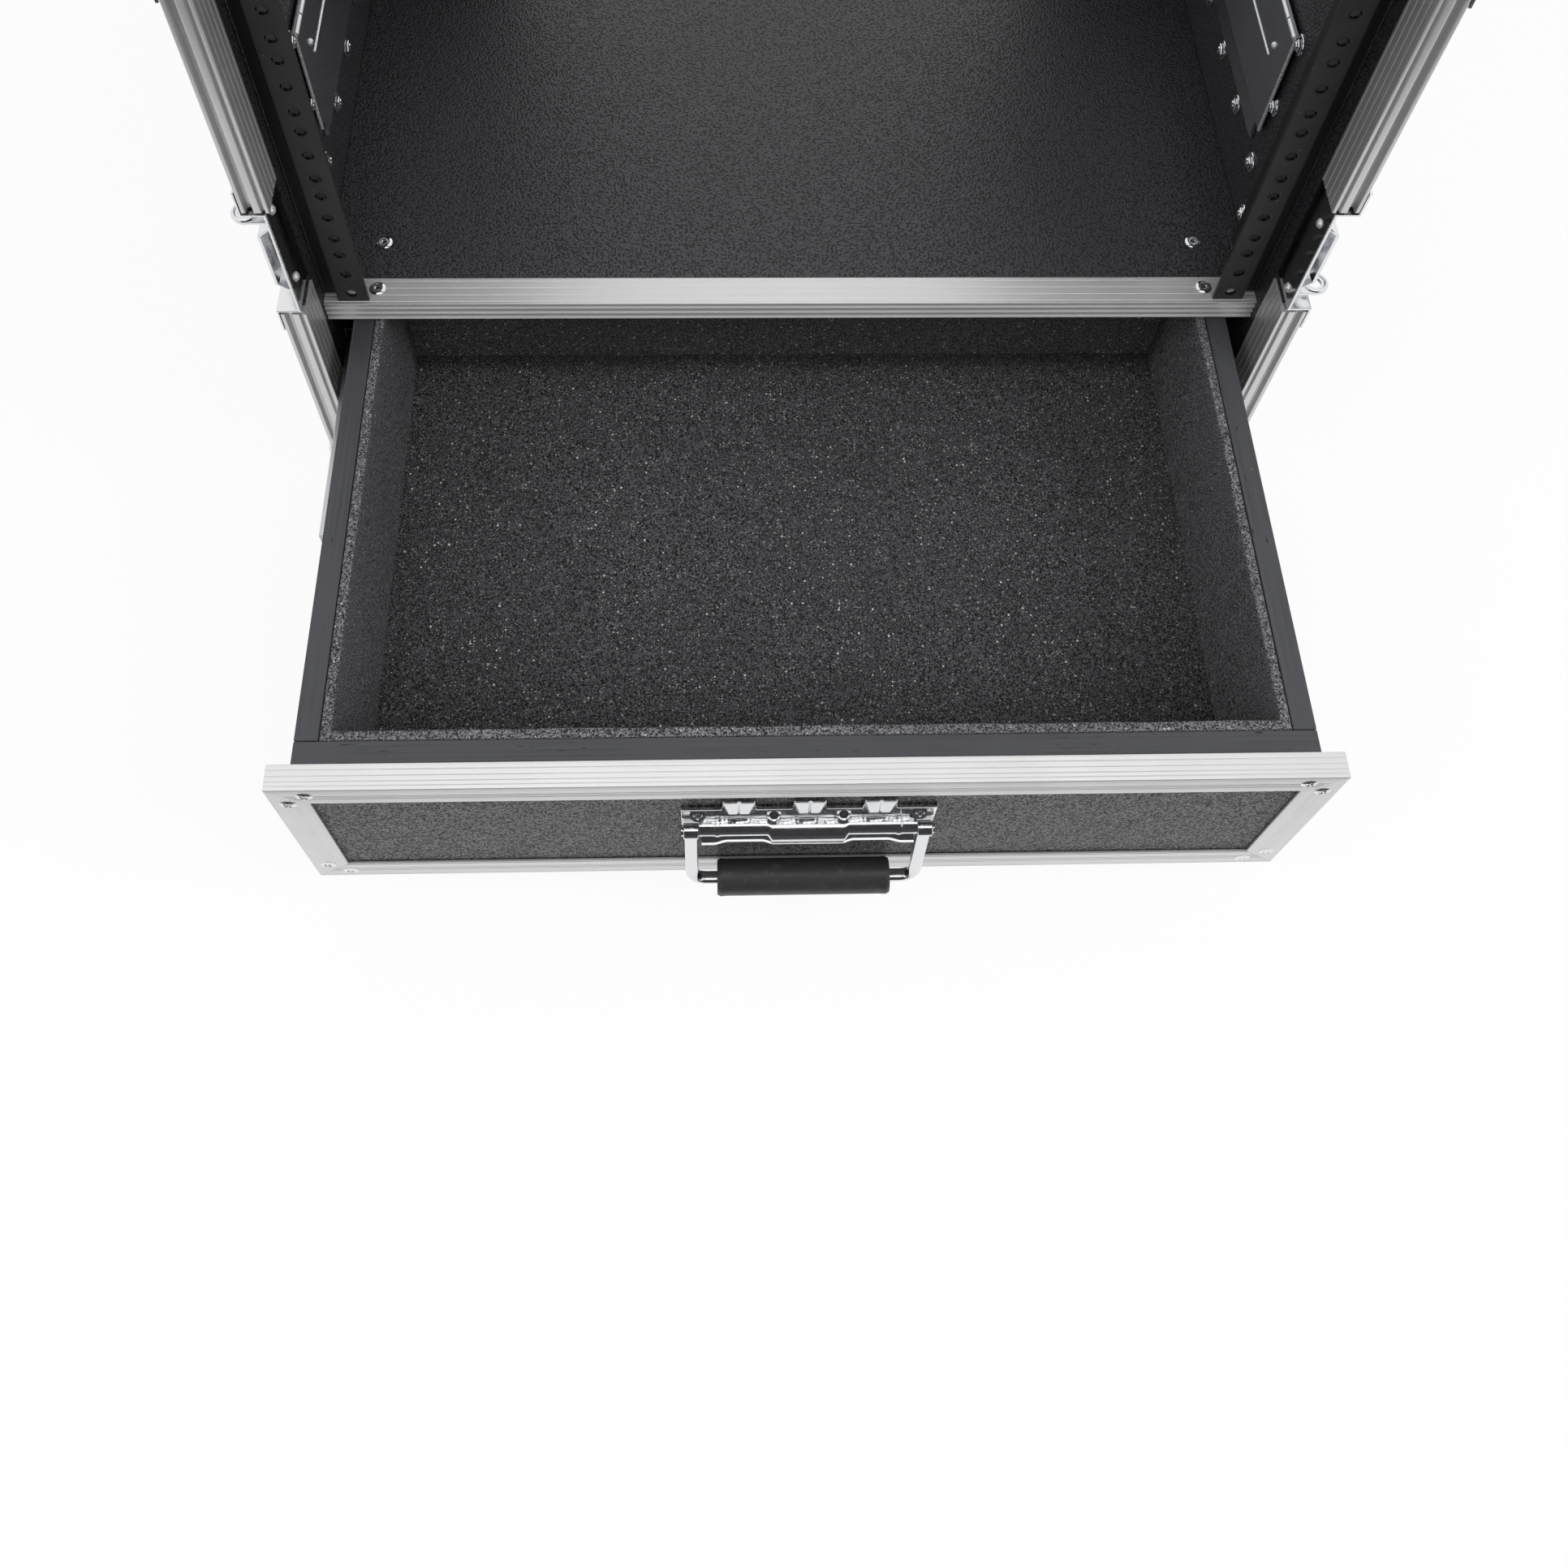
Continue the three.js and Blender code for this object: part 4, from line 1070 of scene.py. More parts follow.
def nut_and_washer(washer_radius):
    """Washer, six-sided nut with a turned chamfer, and the domed end of the bolt."""
    rim, chamfer, thick = mm(0.7, 0.3, 1.0)
    washer = lathe([(0, 0), (washer_radius, 0), (washer_radius, rim), (washer_radius - chamfer, thick),
                    (0, thick)], 32)
    nut = lathe(mm((0, 0.9), (3.5, 0.9), (3.8, 1.2), (3.8, 2.1), (3.4, 2.5), (0, 2.5)), 6)
    stud = lathe(mm((0, 2.4), (2.3, 2.4), (2.3, 2.9), (1.9, 3.3), (0, 3.4)), 20)
    return joined(washer, nut, stud)


def build_handle_bolts():
    """Bolts round the handle dishes: nuts on washers inside, domed heads outside, and one nut below."""
    washer_radius = hardware().washer / 2
    column_pitch, row_pitch = mm(42.6, 42.5)
    lone_y, lone_z = mm(-100, 158)
    seat = 0.02 * MM
    bolts, heads = [], []
    for side, s in SIDES:
        low, high = box("handle_dish_" + side)
        face = max(abs(low[0]), abs(high[0]))
        middle_z = (low[2] + high[2]) / 2
        for column in (-2, -1, 0, 1, 2):
            for row in (-1, 0, 1):
                if row == 0 and abs(column) < 2:
                    continue
                y, z = column * column_pitch, middle_z + row * row_pitch
                spin = (column * 5 + row * 3) * 0.37
                bolt = turned(nut_and_washer(washer_radius), spin, "z")
                bolts.append(oriented(bolt, "x", -s, (s * (inner_x - seat), y, z)))
                head = lathe(head_profile(*mm(4.4, 1.9)), 28)
                heads.append(oriented(head, "x", s, (s * face, y, z)))
        bolts.append(oriented(nut_and_washer(washer_radius), "x", -s, (s * inner_x, lone_y, lone_z)))
    add_set("handle_bolt_ends", bolts, "case", "Bright Zinc")
    add_set("handle_bolt_heads", heads, "case", "Bright Zinc")


def build_shelf_rivets():
    """Pop rivets through the shelf and its strip, each with its pin's end as a dark disc: painted shade in
    the rivet's hollow middle.
    """
    rivet_x, front_rivet, back_rivet = mm(221, -144.2, -111.5)
    sink = 0.1 * MM
    strip_top = box("shelf_edge_strip")[1][2] - sink
    shelf_top = box("shelf_panel")[1][2]
    rivets, pin_shade_discs = [], []
    for _, s in SIDES:
        for y, z in ((front_rivet, strip_top), (back_rivet, shelf_top)):
            place = (s * rivet_x, y, z)
            rivets.append(moved(pop_rivet(hardware().rivet / 2), place))
            # Dark pin ends: painted shade in the rivets' hollow middles.
            pin_shade_discs.append(moved(lathe(mm((0, 0.3), (0.9, 0.28), (0.9, 0), (0, 0)), 16), place))
    add_set("shelf_rivets", rivets, "case", "Bright Zinc")
    add_set("shelf_rivet_pins", pin_shade_discs, "case", "Rail Powder Coat")


def build_frame_screws():
    """Two cross-slotted screws in each corner of the drawer's frame."""
    frame_x, low_edge, high_edge = drawer_edges()
    frame_y = box("drawer_frame_left")[0][1]
    screws = []
    for _, s in SIDES:
        for edge, way in ((low_edge, 1), (high_edge, -1)):
            for across, along in ((17.0, 7.6), (7.6, 17.6)):
                place = (s * (frame_x - across * MM), frame_y, edge + way * along * MM)
                screw = turned(cross_screw(hardware().screw / 2), 0.4 + across + s, "z")
                screws.append(oriented(screw, "y", -1, place))
    add_set("drawer_frame_screws", screws, "drawer", "Bright Zinc")


# Handles

def bail_path(width, arm, turn_radius):
    """The bail from one end of the axle to the other, as (x, drop) points: half of it is straight, a
    quarter arc and straight, and the other half mirrors it."""
    half = width / 2
    angle = np.linspace(0, math.pi / 2, 12)
    bar = np.stack([np.linspace(0, half - turn_radius, 40)[:-1], np.full(39, arm)], -1)
    curve = np.stack([half - turn_radius + turn_radius * np.sin(angle),
                      arm - turn_radius + turn_radius * np.cos(angle)], -1)
    side = np.stack([np.full(17, half), np.linspace(arm - turn_radius, 0, 18)[1:]], -1)
    right = np.concatenate([bar, curve, side])
    return np.concatenate([right[::-1][:-1] * (-1, 1), right])


def bail_part(axle, grip_middle, width, along, out):
    """A bar bent into a U: its section is flat on the arms and turns round towards the grip.
    along is the axle's direction, out is the way the arms' flat faces look."""
    turn_radius, flat_half, round_half, round_thick = mm(7.5, 1.7, 3.2, 2.1)
    flat_start, flat_end = mm(1.5, 9)
    down = grip_middle - axle
    arm = np.linalg.norm(down)
    down /= arm
    thick = hardware().rod * 0.94
    path = bail_path(width - thick, arm, turn_radius)
    points = axle + path[:, :1] * np.array(along) + path[:, 1:] * down
    flat_bar = oval(flat_half, thick / 2, 24, 3.4)
    round_bar = oval(round_half, round_thick, 24, 2.6)
    blend = ease(arm - path[:, 1], flat_start, flat_end)[:, None, None]
    sections = round_bar[None] * (1 - blend) + flat_bar[None] * blend
    return carried(sections, points, out)


def grip_part(centre, axis):
    """A moulded tube: its profile has a bead at each end and a soft waist between them."""
    bore, bore_inset, rim, waist = mm(3.0, 2, 0.5, 0.95)
    shoulder, shoulder_length, bead_height, bead_at, bead_width = mm(0.7, 1.4, 0.25, 2.2, 1.1)
    size = hardware()
    half = size.grip_length / 2
    middle = np.linspace(-half + rim, half - rim, 61)
    along = np.concatenate([[-half, -half], middle, [half, half]])
    inset = half - np.abs(along)
    ends = ease(inset, 0.0, shoulder_length)
    bead = bead_height * np.exp(-((inset - bead_at) / bead_width) ** 2)
    radius = size.grip / 2 - waist + shoulder * ends ** 0.5 + bead
    radius[0] = radius[-1] = bore
    bore_ends = [(bore, half - bore_inset), (bore, bore_inset - half)]
    profile = np.concatenate([np.stack([radius, along], -1), bore_ends])
    return lathe(profile, 48, axis, centre, closed=True)


def build_side_handles():
    """Flat bails and rubber grips of the two side handles."""
    width = 119 * MM
    for side, s in SIDES:
        body = "side_handle_" + side
        grip = middle_of("side_handle_grip_" + side)
        bail = bail_part(axle_of("side_handle_hinge_" + side), grip, width, (0, 1.0, 0), (s * 1.0, 0, 0))
        node = "side_handle_bail_" + side
        add_piece(node + "_bar", bail, body, "Bright Zinc", node)
        node = "side_handle_grip_" + side
        add_piece(node + "_rubber", grip_part(grip, "y"), body, "Grip Rubber", node)


def knuckle_cover(x, z, foot, rise):
    """1 inside the three boat-shaped knuckles, whose sides lean out upwards, 0 outside them."""
    foot_half, lean_out, inside, outside = mm(5.3, 2.5, 0.9, 0.3)
    half = foot_half + lean_out * (z - foot) / rise
    return sum(1 - ease(np.abs(x - c), half - inside, half + outside) for c in KNUCKLES)


def pull_plate_part():
    """Pressed handle plate as a height over (x, z): a flat back with three knuckles that stand up from
    it and lean back, and a sleeve over the bail's axle that is wider in its middle. Rows above the
    plate's edge fall together on that edge."""
    margin, edge_lift, plate_lift = mm(0.5, 0.2, 2)
    foot_drop, rise, edge_drop, tip_drop = mm(14.5, 11.5, 13, 1.5)
    groove_half, groove_end, groove_depth = mm(0.3, 0.9, 0.5)
    knuckle_depth, knuckle_slope, fade_below, fade_above = 1.9 * MM, 0.148, 0.5 * MM, 0.4 * MM
    last_knuckle_row, first_back_row, last_back_row, low_edge = mm(0.6, 0.3, -8.5, 4)
    wide_half, wide_end, wide_more, wide_out, wide_down = mm(16.8, 19.6, 1.8, 0.4, 2.2)
    sleeve_end, sleeve_radius, sleeve_in, sleeve_up, ledge_lift = mm(51.4, 4.2, 1.5, 1.8, 2.4)
    ring_at, ring_width, ring_height = mm(43, 1.3, 0.45)
    sag_depth, ripple, ripple_length, wave, wave_length = mm(0.25, 0.03, 0.36, 0.05, 1.7)
    low, high = box("drawer_handle_plate")
    _, axle_y, axle_z = axle_of("drawer_handle_hinge")
    x = np.linspace(low[0] + margin, high[0] - margin, 481)
    reach = np.abs(x)
    sleeved = reach < sleeve_end
    foot = high[2] - foot_drop
    edge = high[2] - edge_drop + (rise - tip_drop) * knuckle_cover(x, foot + rise, foot, rise)
    groove = sum(1 - ease(np.abs(x - c), groove_half, groove_end) for c in KNUCKLES)
    wide = 1 - ease(reach, wide_half, wide_end)
    ring = np.exp(-((reach - ring_at) / ring_width) ** 2)
    radius = sleeve_radius + wide_more * wide + ring_height * ring
    centre_y = axle_y + sleeve_in - wide_out * wide
    centre_z = axle_z + sleeve_up - wide_down * wide
    rows = [(edge, drawer_face_y + 0 * x - edge_lift)]
    knuckle_rows = np.linspace(rise, last_knuckle_row, 14)
    for level in np.concatenate([knuckle_rows, np.linspace(first_back_row, last_back_row, 16)]):
        z = np.minimum(foot + level, edge)
        bulge = knuckle_depth - knuckle_slope * (z - foot) - groove_depth * groove
        inside = knuckle_cover(x, z, foot, rise) * ease(z, foot - fade_below, foot + fade_above)
        rows.append((z, drawer_face_y - plate_lift - inside * bulge))
    rows.append((np.where(sleeved, rows[-1][0], low[2] + low_edge), rows[-1][1]))
    back = rows[-1]
    ledge = drawer_face_y - ledge_lift
    sleeve = []
    for share in np.linspace(0, 1, 8)[:-1]:
        sag = sag_depth * math.cos(share * math.pi / 2) + ripple * np.sin(x / ripple_length + share)
        sag = sag + wave * np.sin(x / wave_length + 2 * share)
        sleeve.append((centre_z + radius + sag, ledge + (centre_y - ledge) * share))
    for angle in np.linspace(0.5 * math.pi, -0.42 * math.pi, 32):
        sleeve.append((centre_z + radius * np.sin(angle), centre_y - radius * np.cos(angle)))
    rows += [(np.where(sleeved, z, back[0]), np.where(sleeved, y, back[1])) for z, y in sleeve]
    return surface(np.stack([np.stack([x, y, z], -1) for z, y in rows]))


def plate_lip_part():
    """Turned-out lower edge of the handle plate: a flat strip whose front edge leans and draws back
    between the sleeve's wide middle and its ends."""
    half, lift, root_out, tip_out, draw_back, lean = mm(50.5, 2.3, 1.5, 11.4, 1.4, 0.05)
    fold, bend = mm(1.3, 1.1)
    wide_end, narrow_start, narrow_end, tip_start = mm(16, 22, 38, 45)
    x = np.linspace(-half, half, 203)
    reach = np.abs(x)
    narrow = ease(reach, wide_end, narrow_start) * (1 - ease(reach, narrow_end, tip_start))
    tip = tip_out - draw_back * narrow
    root = root_out + 0 * x
    top = box("drawer_handle_plate")[0][2] + lift
    section = (
        (root, 4.5), (tip - fold, 0.3), (tip - bend, 0.12), (tip, -0.05), (tip + lean, -1.2), (root, -0.9)
    )
    rings = [np.stack([x, drawer_face_y - out, top + rise * MM + 0 * x], -1) for out, rise in section]
    return tube(np.stack(rings, 1))


EYELET = mm((0, 0.1), (1.9, 0.1), (2.1, 1.1), (2.8, 1.6), (3.5, 1.0), (3.6, -1.8), (0, -1.8))
EYELET_PIN = mm((0, 1.1), (0.8, 0.9), (0.8, 0), (0, 0))
# A dark disc in each eyelet's hole, as painted shade.
EYELET_HOLE_SHADE = mm((0, 0.6), (1.9, 0.6), (1.9, 0), (0, 0))
SCREW_COLLAR = mm((0, -1.6), (3.8, -1.6), (3.8, 0.65), (0, 0.65))
BAIL_EYE = mm((0, 51.9), (3.6, 51.9), (3.9, 52.2), (3.9, 58.7), (3.5, 59.1), (2.4, 59.2), (2.2, 60.2),
              (0, 60.3))


def leaning(part, place):
    """A fastener on the pressed plate, which leans back."""
    return turned(oriented(part, "y", -1, place), -LEAN_BACK, "x", place)


def build_drawer_handle():
    """Pressed plate with its fasteners, the bail and the grip of the drawer."""
    eyelet_x, eyelet_up, screw_x, screw_up, screw_radius, screw_lift = mm(16.4, 11.8, 52.2, 13, 3.8, 0.7)
    sheet, bail_width, fastener_out = mm(0.9, 117.6, 2.8)
    pressing = mesh_of("drawer_handle_pressing", pull_plate_part(), 60)
    plate = place_piece(
        "drawer_handle_pressing", pressing, "drawer", "Bright Zinc", "drawer_handle_plate"
    )
    wall = plate.modifiers.new("Sheet", "SOLIDIFY")
    wall.thickness = sheet
    wall.offset = 0.0
    add_piece("drawer_handle_lip", plate_lip_part(), "drawer", "Bright Zinc")
    axle = axle_of("drawer_handle_hinge")
    face = drawer_face_y - fastener_out
    screw = joined(moved(cross_screw(screw_radius), (0, 0, screw_lift)), lathe(SCREW_COLLAR, 32))
    fasteners, holes, eyes = [], [], []
    for _, s in SIDES:
        place = np.array((s * eyelet_x, face, axle[2] + eyelet_up))
        fasteners.append(leaning(lathe(EYELET, 32), place))
        fasteners.append(leaning(lathe(EYELET_PIN, 16), place))
        holes.append(leaning(lathe(EYELET_HOLE_SHADE, 20), place))
        place = np.array((s * screw_x, face, axle[2] + screw_up))
        fasteners.append(leaning(screw, place))
        eyes.append(oriented(lathe(BAIL_EYE, 32), "x", s, (0, axle[1], axle[2])))
    add_set("drawer_handle_rivets", fasteners, "drawer", "Bright Zinc")
    # Dark discs as painted shade in the eyelets' holes.
    add_set("drawer_handle_rivet_holes", holes, "drawer", "Rail Powder Coat")
    grip = middle_of("drawer_handle_grip")
    bail = joined(bail_part(axle, grip, bail_width, (1.0, 0, 0), (0, -1.0, 0)), *eyes)
    body = "drawer_handle"
    add_piece("drawer_handle_bail_bar", bail, body, "Bright Zinc", "drawer_handle_bail")
    rubber = grip_part(grip, "x")
    add_piece("drawer_handle_grip_rubber", rubber, body, "Grip Rubber", "drawer_handle_grip")


# Foam

FOAM_THICK = 5.3 * MM


def foam_wave(a, b):
    """Slow unevenness of hand-cut foam, from -1 to 1: a sum of sines."""
    long_wave = 0.5 * np.sin(a * 61 + b * 23) + 0.3 * np.sin(a * 23 - b * 97 + 1.3)
    return long_wave + 0.2 * np.sin(b * 171 + a * 131)


def foam_sheet_part(low, high):
    """A soft slab: a grid whose top falls off towards its edges as a quarter round and is
    slightly uneven, closed by a flat underside."""
    rows, columns = 70, 100
    fall, dip, run_in = mm(1.2, 0.25, 4)
    x = low[0] + (high[0] - low[0]) * np.linspace(0, 1, columns)[None, :] + np.zeros((rows, 1))
    y = low[1] + (high[1] - low[1]) * np.linspace(0, 1, rows)[:, None] + np.zeros((1, columns))
    edge = np.minimum(np.minimum(x - low[0], high[0] - x), np.minimum(y - low[1], high[1] - y))
    quarter = fall * (1 - np.sqrt(1 - (1 - np.clip(edge / fall, 0, 1)) ** 2))
    z = high[2] - quarter - dip * (1 + foam_wave(x, y)) * np.clip(edge / run_in, 0, 1)
    top, top_faces = surface(np.stack([x, y, z], -1))
    under = np.stack([x, y, np.full_like(x, low[2])], -1).reshape(-1, 3)
    number = np.arange(rows * columns).reshape(rows, columns)
    rim = np.concatenate([number[0, :-1], number[:-1, -1], number[-1, :0:-1], number[:0:-1, 0]])
    after = np.roll(rim, -1)
    wall = np.stack([rim, after, after + len(top), rim + len(top)], -1)
    return np.concatenate([top, under]), top_faces + [top_faces[0][:, ::-1] + len(top), wall]


def foam_wall_part(low, high, thick):
    """Four strips in one ring: a section with a rounded, slightly wavy top carried round a rectangle
    with mitred corners."""
    corners = np.array([(low[0], low[1]), (high[0], low[1]), (high[0], high[1]), (low[0], high[1])])
    inward = np.array([(1, 1), (-1, 1), (-1, -1), (1, -1)])
    square = np.array([(0, 1), (-1, 0), (0, -1), (1, 0)])
    share = np.linspace(0, 1, 60)[:-1]
    path, way = [], []
    for i in range(4):
        path.append(corners[i] + (corners[(i + 1) % 4] - corners[i]) * share[:, None])
        ends = np.repeat(square[i][None].astype(float), len(share), 0)
        ends[0] = inward[i]
        way.append(ends)
    path = np.concatenate(path)
    way = np.concatenate(way)
    height = high[2] - low[2]
    edge, lean_in, sink = mm(1.0, 0.35, 0.2)
    arc = np.linspace(0, math.pi / 2, 5)
    rise = np.linspace(0.12, 0.9, 8) * height
    across = np.concatenate([[0.0, thick], np.full(8, thick), thick - edge + edge * np.cos(arc),
                             [thick * 0.5], edge - edge * np.sin(arc)])
    up = np.concatenate([[0.0, 0.0], rise, height - edge + edge * np.sin(arc),
                         [height], height - edge + edge * np.cos(arc)])
    wave = foam_wave(path[:, 0] * 1.7, path[:, 1] * 1.7)[:, None]
    depth = across - lean_in * (1 + wave) * (up / height) * (across / thick)
    grid = np.zeros((len(path), len(across), 3))
    grid[..., :2] = path[:, None] + way[:, None] * depth[..., None]
    grid[..., 2] = low[2] + up - sink * (1 - wave) * (up / height)
    return surface(grid, wrap_rows=True, wrap_columns=True)


def build_foam():
    """Foam floor and the foam strips that stand on it."""
    floor = foam_sheet_part(*box("foam_floor"))
    floor = add_piece("foam_floor_sheet", floor, "drawer", "Foam Floor", "foam_floor", 60)
    walls = foam_wall_part(*box("foam_walls"), FOAM_THICK)
    walls = add_piece("foam_wall_strips", walls, "drawer", "Foam Strips", "foam_walls", 60)


# Boards, panels and sheet metal that keep their node's shape

def build_panels():
    """Outer panels and shelf in their laminate, and the drawer's front panel."""
    for panel in ("side_panel_left", "side_panel_right", "bottom_panel", "top_panel", "back_panel",
                  "shelf_panel"):
        slot = frame["nodes"][panel].material_slots[0]
        slot.material = bpy.data.materials["Panel Laminate"]
    soften("drawer_front_panel", "drawer", "Drawer Front Laminate", 0.4 * MM)


def build_boards():
    """Drawer boards and rail battens with softened edges."""
    for board, along in (("front_board", "X"), ("back", "X"), ("bottom", "X"), ("side_left", "Y"),
                         ("side_right", "Y")):
        soften("drawer_" + board, "drawer", "Painted Ply " + along, 0.5 * MM)
    for side, _ in SIDES:
        soften("rail_batten_" + side, "case", "Stained Batten", 0.6 * MM)


def build_pressings():
    """Corners, latch keepers and handle dishes: the nodes' sheet with rounded edges."""
    for side, _ in SIDES:
        for level, _, _ in case_levels:
            for end in ("front", "back"):
                soften(f"corner_{end}_{level}_{side}", "case", "Bright Zinc", 0.3 * MM)
        for pressing in ("latch_keeper_", "handle_dish_"):
            soften(pressing + side, "case", "Bright Zinc", 0.35 * MM)


def build_latch_details():
    """Rivets on the latch pans, a bead along their front edge and the raised rim of the tabs."""
    half_wide, half_thick, bead_radius, bead_half, bead_out, bead_in = mm(0.8, 0.5, 0.45, 36.6, 1.2, 0.55)
    rivet_radius, rivet_height, rivet_out, rivet_in, rivet_rise, stagger = mm(2.7, 1.5, 0.55, 9.5, 25, 5)
    rim_radius, rim_half_wide, rim_half_high, rim_step = mm(5.8, 0.95, 0.8, 0.9)
    tab_out, tab_in, tab_drop = mm(2, 10, 27.5)
    bead = rounded([(-half_wide, -half_thick), (half_wide, -half_thick), (half_wide, half_thick),
                    (-half_wide, half_thick)], bead_radius, 3)
    angle = np.arange(12) * TURN / 12
    torus = np.stack([rim_radius + rim_half_wide * np.cos(angle), rim_half_high * np.sin(angle)], -1)
    beads, rims = [], []
    for side, s in SIDES:
        middle = middle_of("latch_keeper_" + side)[2]
        for way in (1, -1):
            head = lathe(head_profile(rivet_radius, rivet_height), 24)
            rise = way * rivet_rise - s * stagger
            place = (s * (inner_x + rivet_out), front_y + rivet_in, middle + rise)
            beads.append(oriented(head, "x", -s, place))
        bar = prism(bead, "z", (middle - bead_half, middle + bead_half))
        beads.append(moved(bar, (s * (inner_x + bead_out), front_y + bead_in, 0)))
        for way in (-1, 1):
            tab = (s * (outer_x + tab_out), front_y + tab_in, middle - s * tab_drop + way * rim_step)
            rims.append(lathe(torus, 40, "z", tab, closed=True))
    add_set("latch_rivets", beads, "case", "Dull Zinc")
    add_set("latch_tab_rims", rims, "case", "Bright Zinc")


def dish_pan_part(s):
    """Inner side of a handle dish as a height over (y, z): a low pan whose edges fall off."""
    stand = 0.6 * MM
    side_start, side_end, foot_start, foot_end = mm(83.7, 84.8, 205.1, 206.2)
    top_start, top_end = mm(271.6, 272.8)
    y = np.linspace(-85, 85, 341)[:, None] * MM
    z = np.linspace(205, 273, 137)[None, :] * MM
    inside_y = 1 - ease(np.abs(y), side_start, side_end)
    inside_z = ease(z, foot_start, foot_end) * (1 - ease(z, top_start, top_end))
    x = dish_x - stand * inside_y * inside_z
    return surface(np.stack([s * x, y + 0 * z, z + 0 * y], -1))


def half_round(start, end, radius, s):
    """A closed bar with a round back between two (y, z) points on the pan, all in millimetres."""
    stand = 0.4 * MM
    x = s * (dish_x - stand)
    y, z = (np.linspace(first * MM, last * MM, 6) for first, last in zip(start, end))
    return carried(oval(radius * MM, radius * MM, 14), np.stack([np.full(6, x), y, z], -1), (1.0, 0, 0))


def build_dish_pans():
    """Inner pans of the handle dishes, and their bent rims, ridge, row of barrels and rivets. Places of
    rims, ridge and barrels are in millimetres."""
    rim_y, rim_foot, rim_top, rim_radius = 84, 207, 269, 0.9
    ridge_y, ridge_z, ridge_radius = 62, 239.6, 0.75
    barrel_z, barrel_pitch, barrel_gap, barrel_radius = 271, 14, 0.6, 1.9
    rivet_y, rivet_z, rivet_out = mm(64, 248, 0.5)
    rivet = lathe(head_profile(*mm(2.1, 1.4)), 20)
    pans, rims = [], []
    for _, s in SIDES:
        pans.append(dish_pan_part(s))
        for end in (-1, 1):
            rims.append(half_round((end * rim_y, rim_foot), (end * rim_y, rim_top), rim_radius, s))
            rims.append(oriented(rivet, "x", -s, (s * (dish_x - rivet_out), end * rivet_y, rivet_z)))
        rims.append(half_round((-ridge_y, ridge_z), (ridge_y, ridge_z), ridge_radius, s))
        for start in range(-rim_y, rim_y, barrel_pitch):
            first, last = start + barrel_gap, start + barrel_pitch - barrel_gap
            rims.append(half_round((first, barrel_z), (last, barrel_z), barrel_radius, s))
    add_set("handle_dish_pans", pans, "case", "Bright Zinc")
    add_set("handle_dish_rims", rims, "case", "Dull Zinc")


def build_runners():
    """The three members of each runner."""
    for side, _ in SIDES:
        for member, body in (("cabinet", "case"), ("intermediate", "runner_" + side), ("drawer", "drawer")):
            soften(f"{member}_runner_{side}", body, "Runner Steel", 0.4 * MM)


# Stage

def dark_card(name, near, far):
    """A dark cloth between two (y, z) edges that only reflections see, so that bright metal has
    something dark to mirror."""
    half = 1.3
    corners = [(-half, *near), (half, *near), (half, *far), (-half, *far)]
    cloth = name + " Cloth"
    tree, shader, place = new_material(cloth, Roughness=0.95)
    weave = mixed(tree, noise(tree, place, 40.0, 2.0), (0.03, 0.03, 0.032, 1), (0.06, 0.06, 0.062, 1))
    tree.links.new(weave, shader.inputs["Base Color"])
    card = put_in_scene(name, flat_mesh(name, corners), cloth)
    card.visible_camera = False
    card.visible_diffuse = False
    card.visible_shadow = False
    card.visible_transmission = False


def seen_rays(tree):
    """1 for rays that come from the camera, a mirror or glass, 0 for those that light things."""
    path = tree.nodes.new("ShaderNodeLightPath").outputs
    seen = maths(tree, "MAXIMUM", path["Is Camera Ray"], path["Is Glossy Ray"])
    return maths(tree, "MAXIMUM", seen, path["Is Transmission Ray"])


def build_camera(stage):
    """The camera at the photograph's viewing angle."""
    scene = bpy.context.scene
    camera = bpy.data.cameras.new("Camera")
    camera.sensor_width = SENSOR
    camera.lens = stage.focal
    camera.shift_x, camera.shift_y = stage.lift
    camera.clip_start = 0.01
    holder = bpy.data.objects.new("Camera", camera)
    scene.collection.objects.link(holder)
    holder.location = CAMERA_PLACE
    holder.rotation_mode = "XYZ"
    holder.rotation_euler = CAMERA_TURN
    scene.camera = holder


def build_surround(stage):
    """White surround that lights less than it shows, and a pale floor that keeps the shadow."""
    white = (1, 1, 1, 1)
    world = bpy.data.worlds.new("Surround")
    world.use_nodes = True
    tree = world.node_tree
    tree.nodes.clear()
    glow = wire(tree, "ShaderNodeBackground", {"Color": white, "Strength": 1.0}).outputs[0]
    dim = wire(tree, "ShaderNodeBackground", {"Color": white, "Strength": stage.sky}).outputs[0]
    blend = wire(tree, "ShaderNodeMixShader", {0: seen_rays(tree), 1: dim, 2: glow})
    wire(tree, "ShaderNodeOutputWorld", {"Surface": blend.outputs[0]})
    bpy.context.scene.world = world
    tree, shader, _ = new_material("Pale Floor", Roughness=0.9)
    shader.inputs["Base Color"].default_value = (0.85, 0.85, 0.85, 1)
    glow = wire(tree, "ShaderNodeEmission", {"Color": white, "Strength": 1.0}).outputs[0]
    share = maths(tree, "MULTIPLY", seen_rays(tree), 0.9)
    blend = wire(tree, "ShaderNodeMixShader", {0: share, 1: shader.outputs[0], 2: glow})
    tree.links.new(blend.outputs[0], tree.nodes["Material Output"].inputs["Surface"])
    reach = 4.0
    ways = ((-reach, -reach), (reach, -reach), (reach, reach), (-reach, reach))
    floor = flat_mesh("Floor", [(x, y, cad_box[0][2]) for x, y in ways])
    put_in_scene("Floor", floor, "Pale Floor")


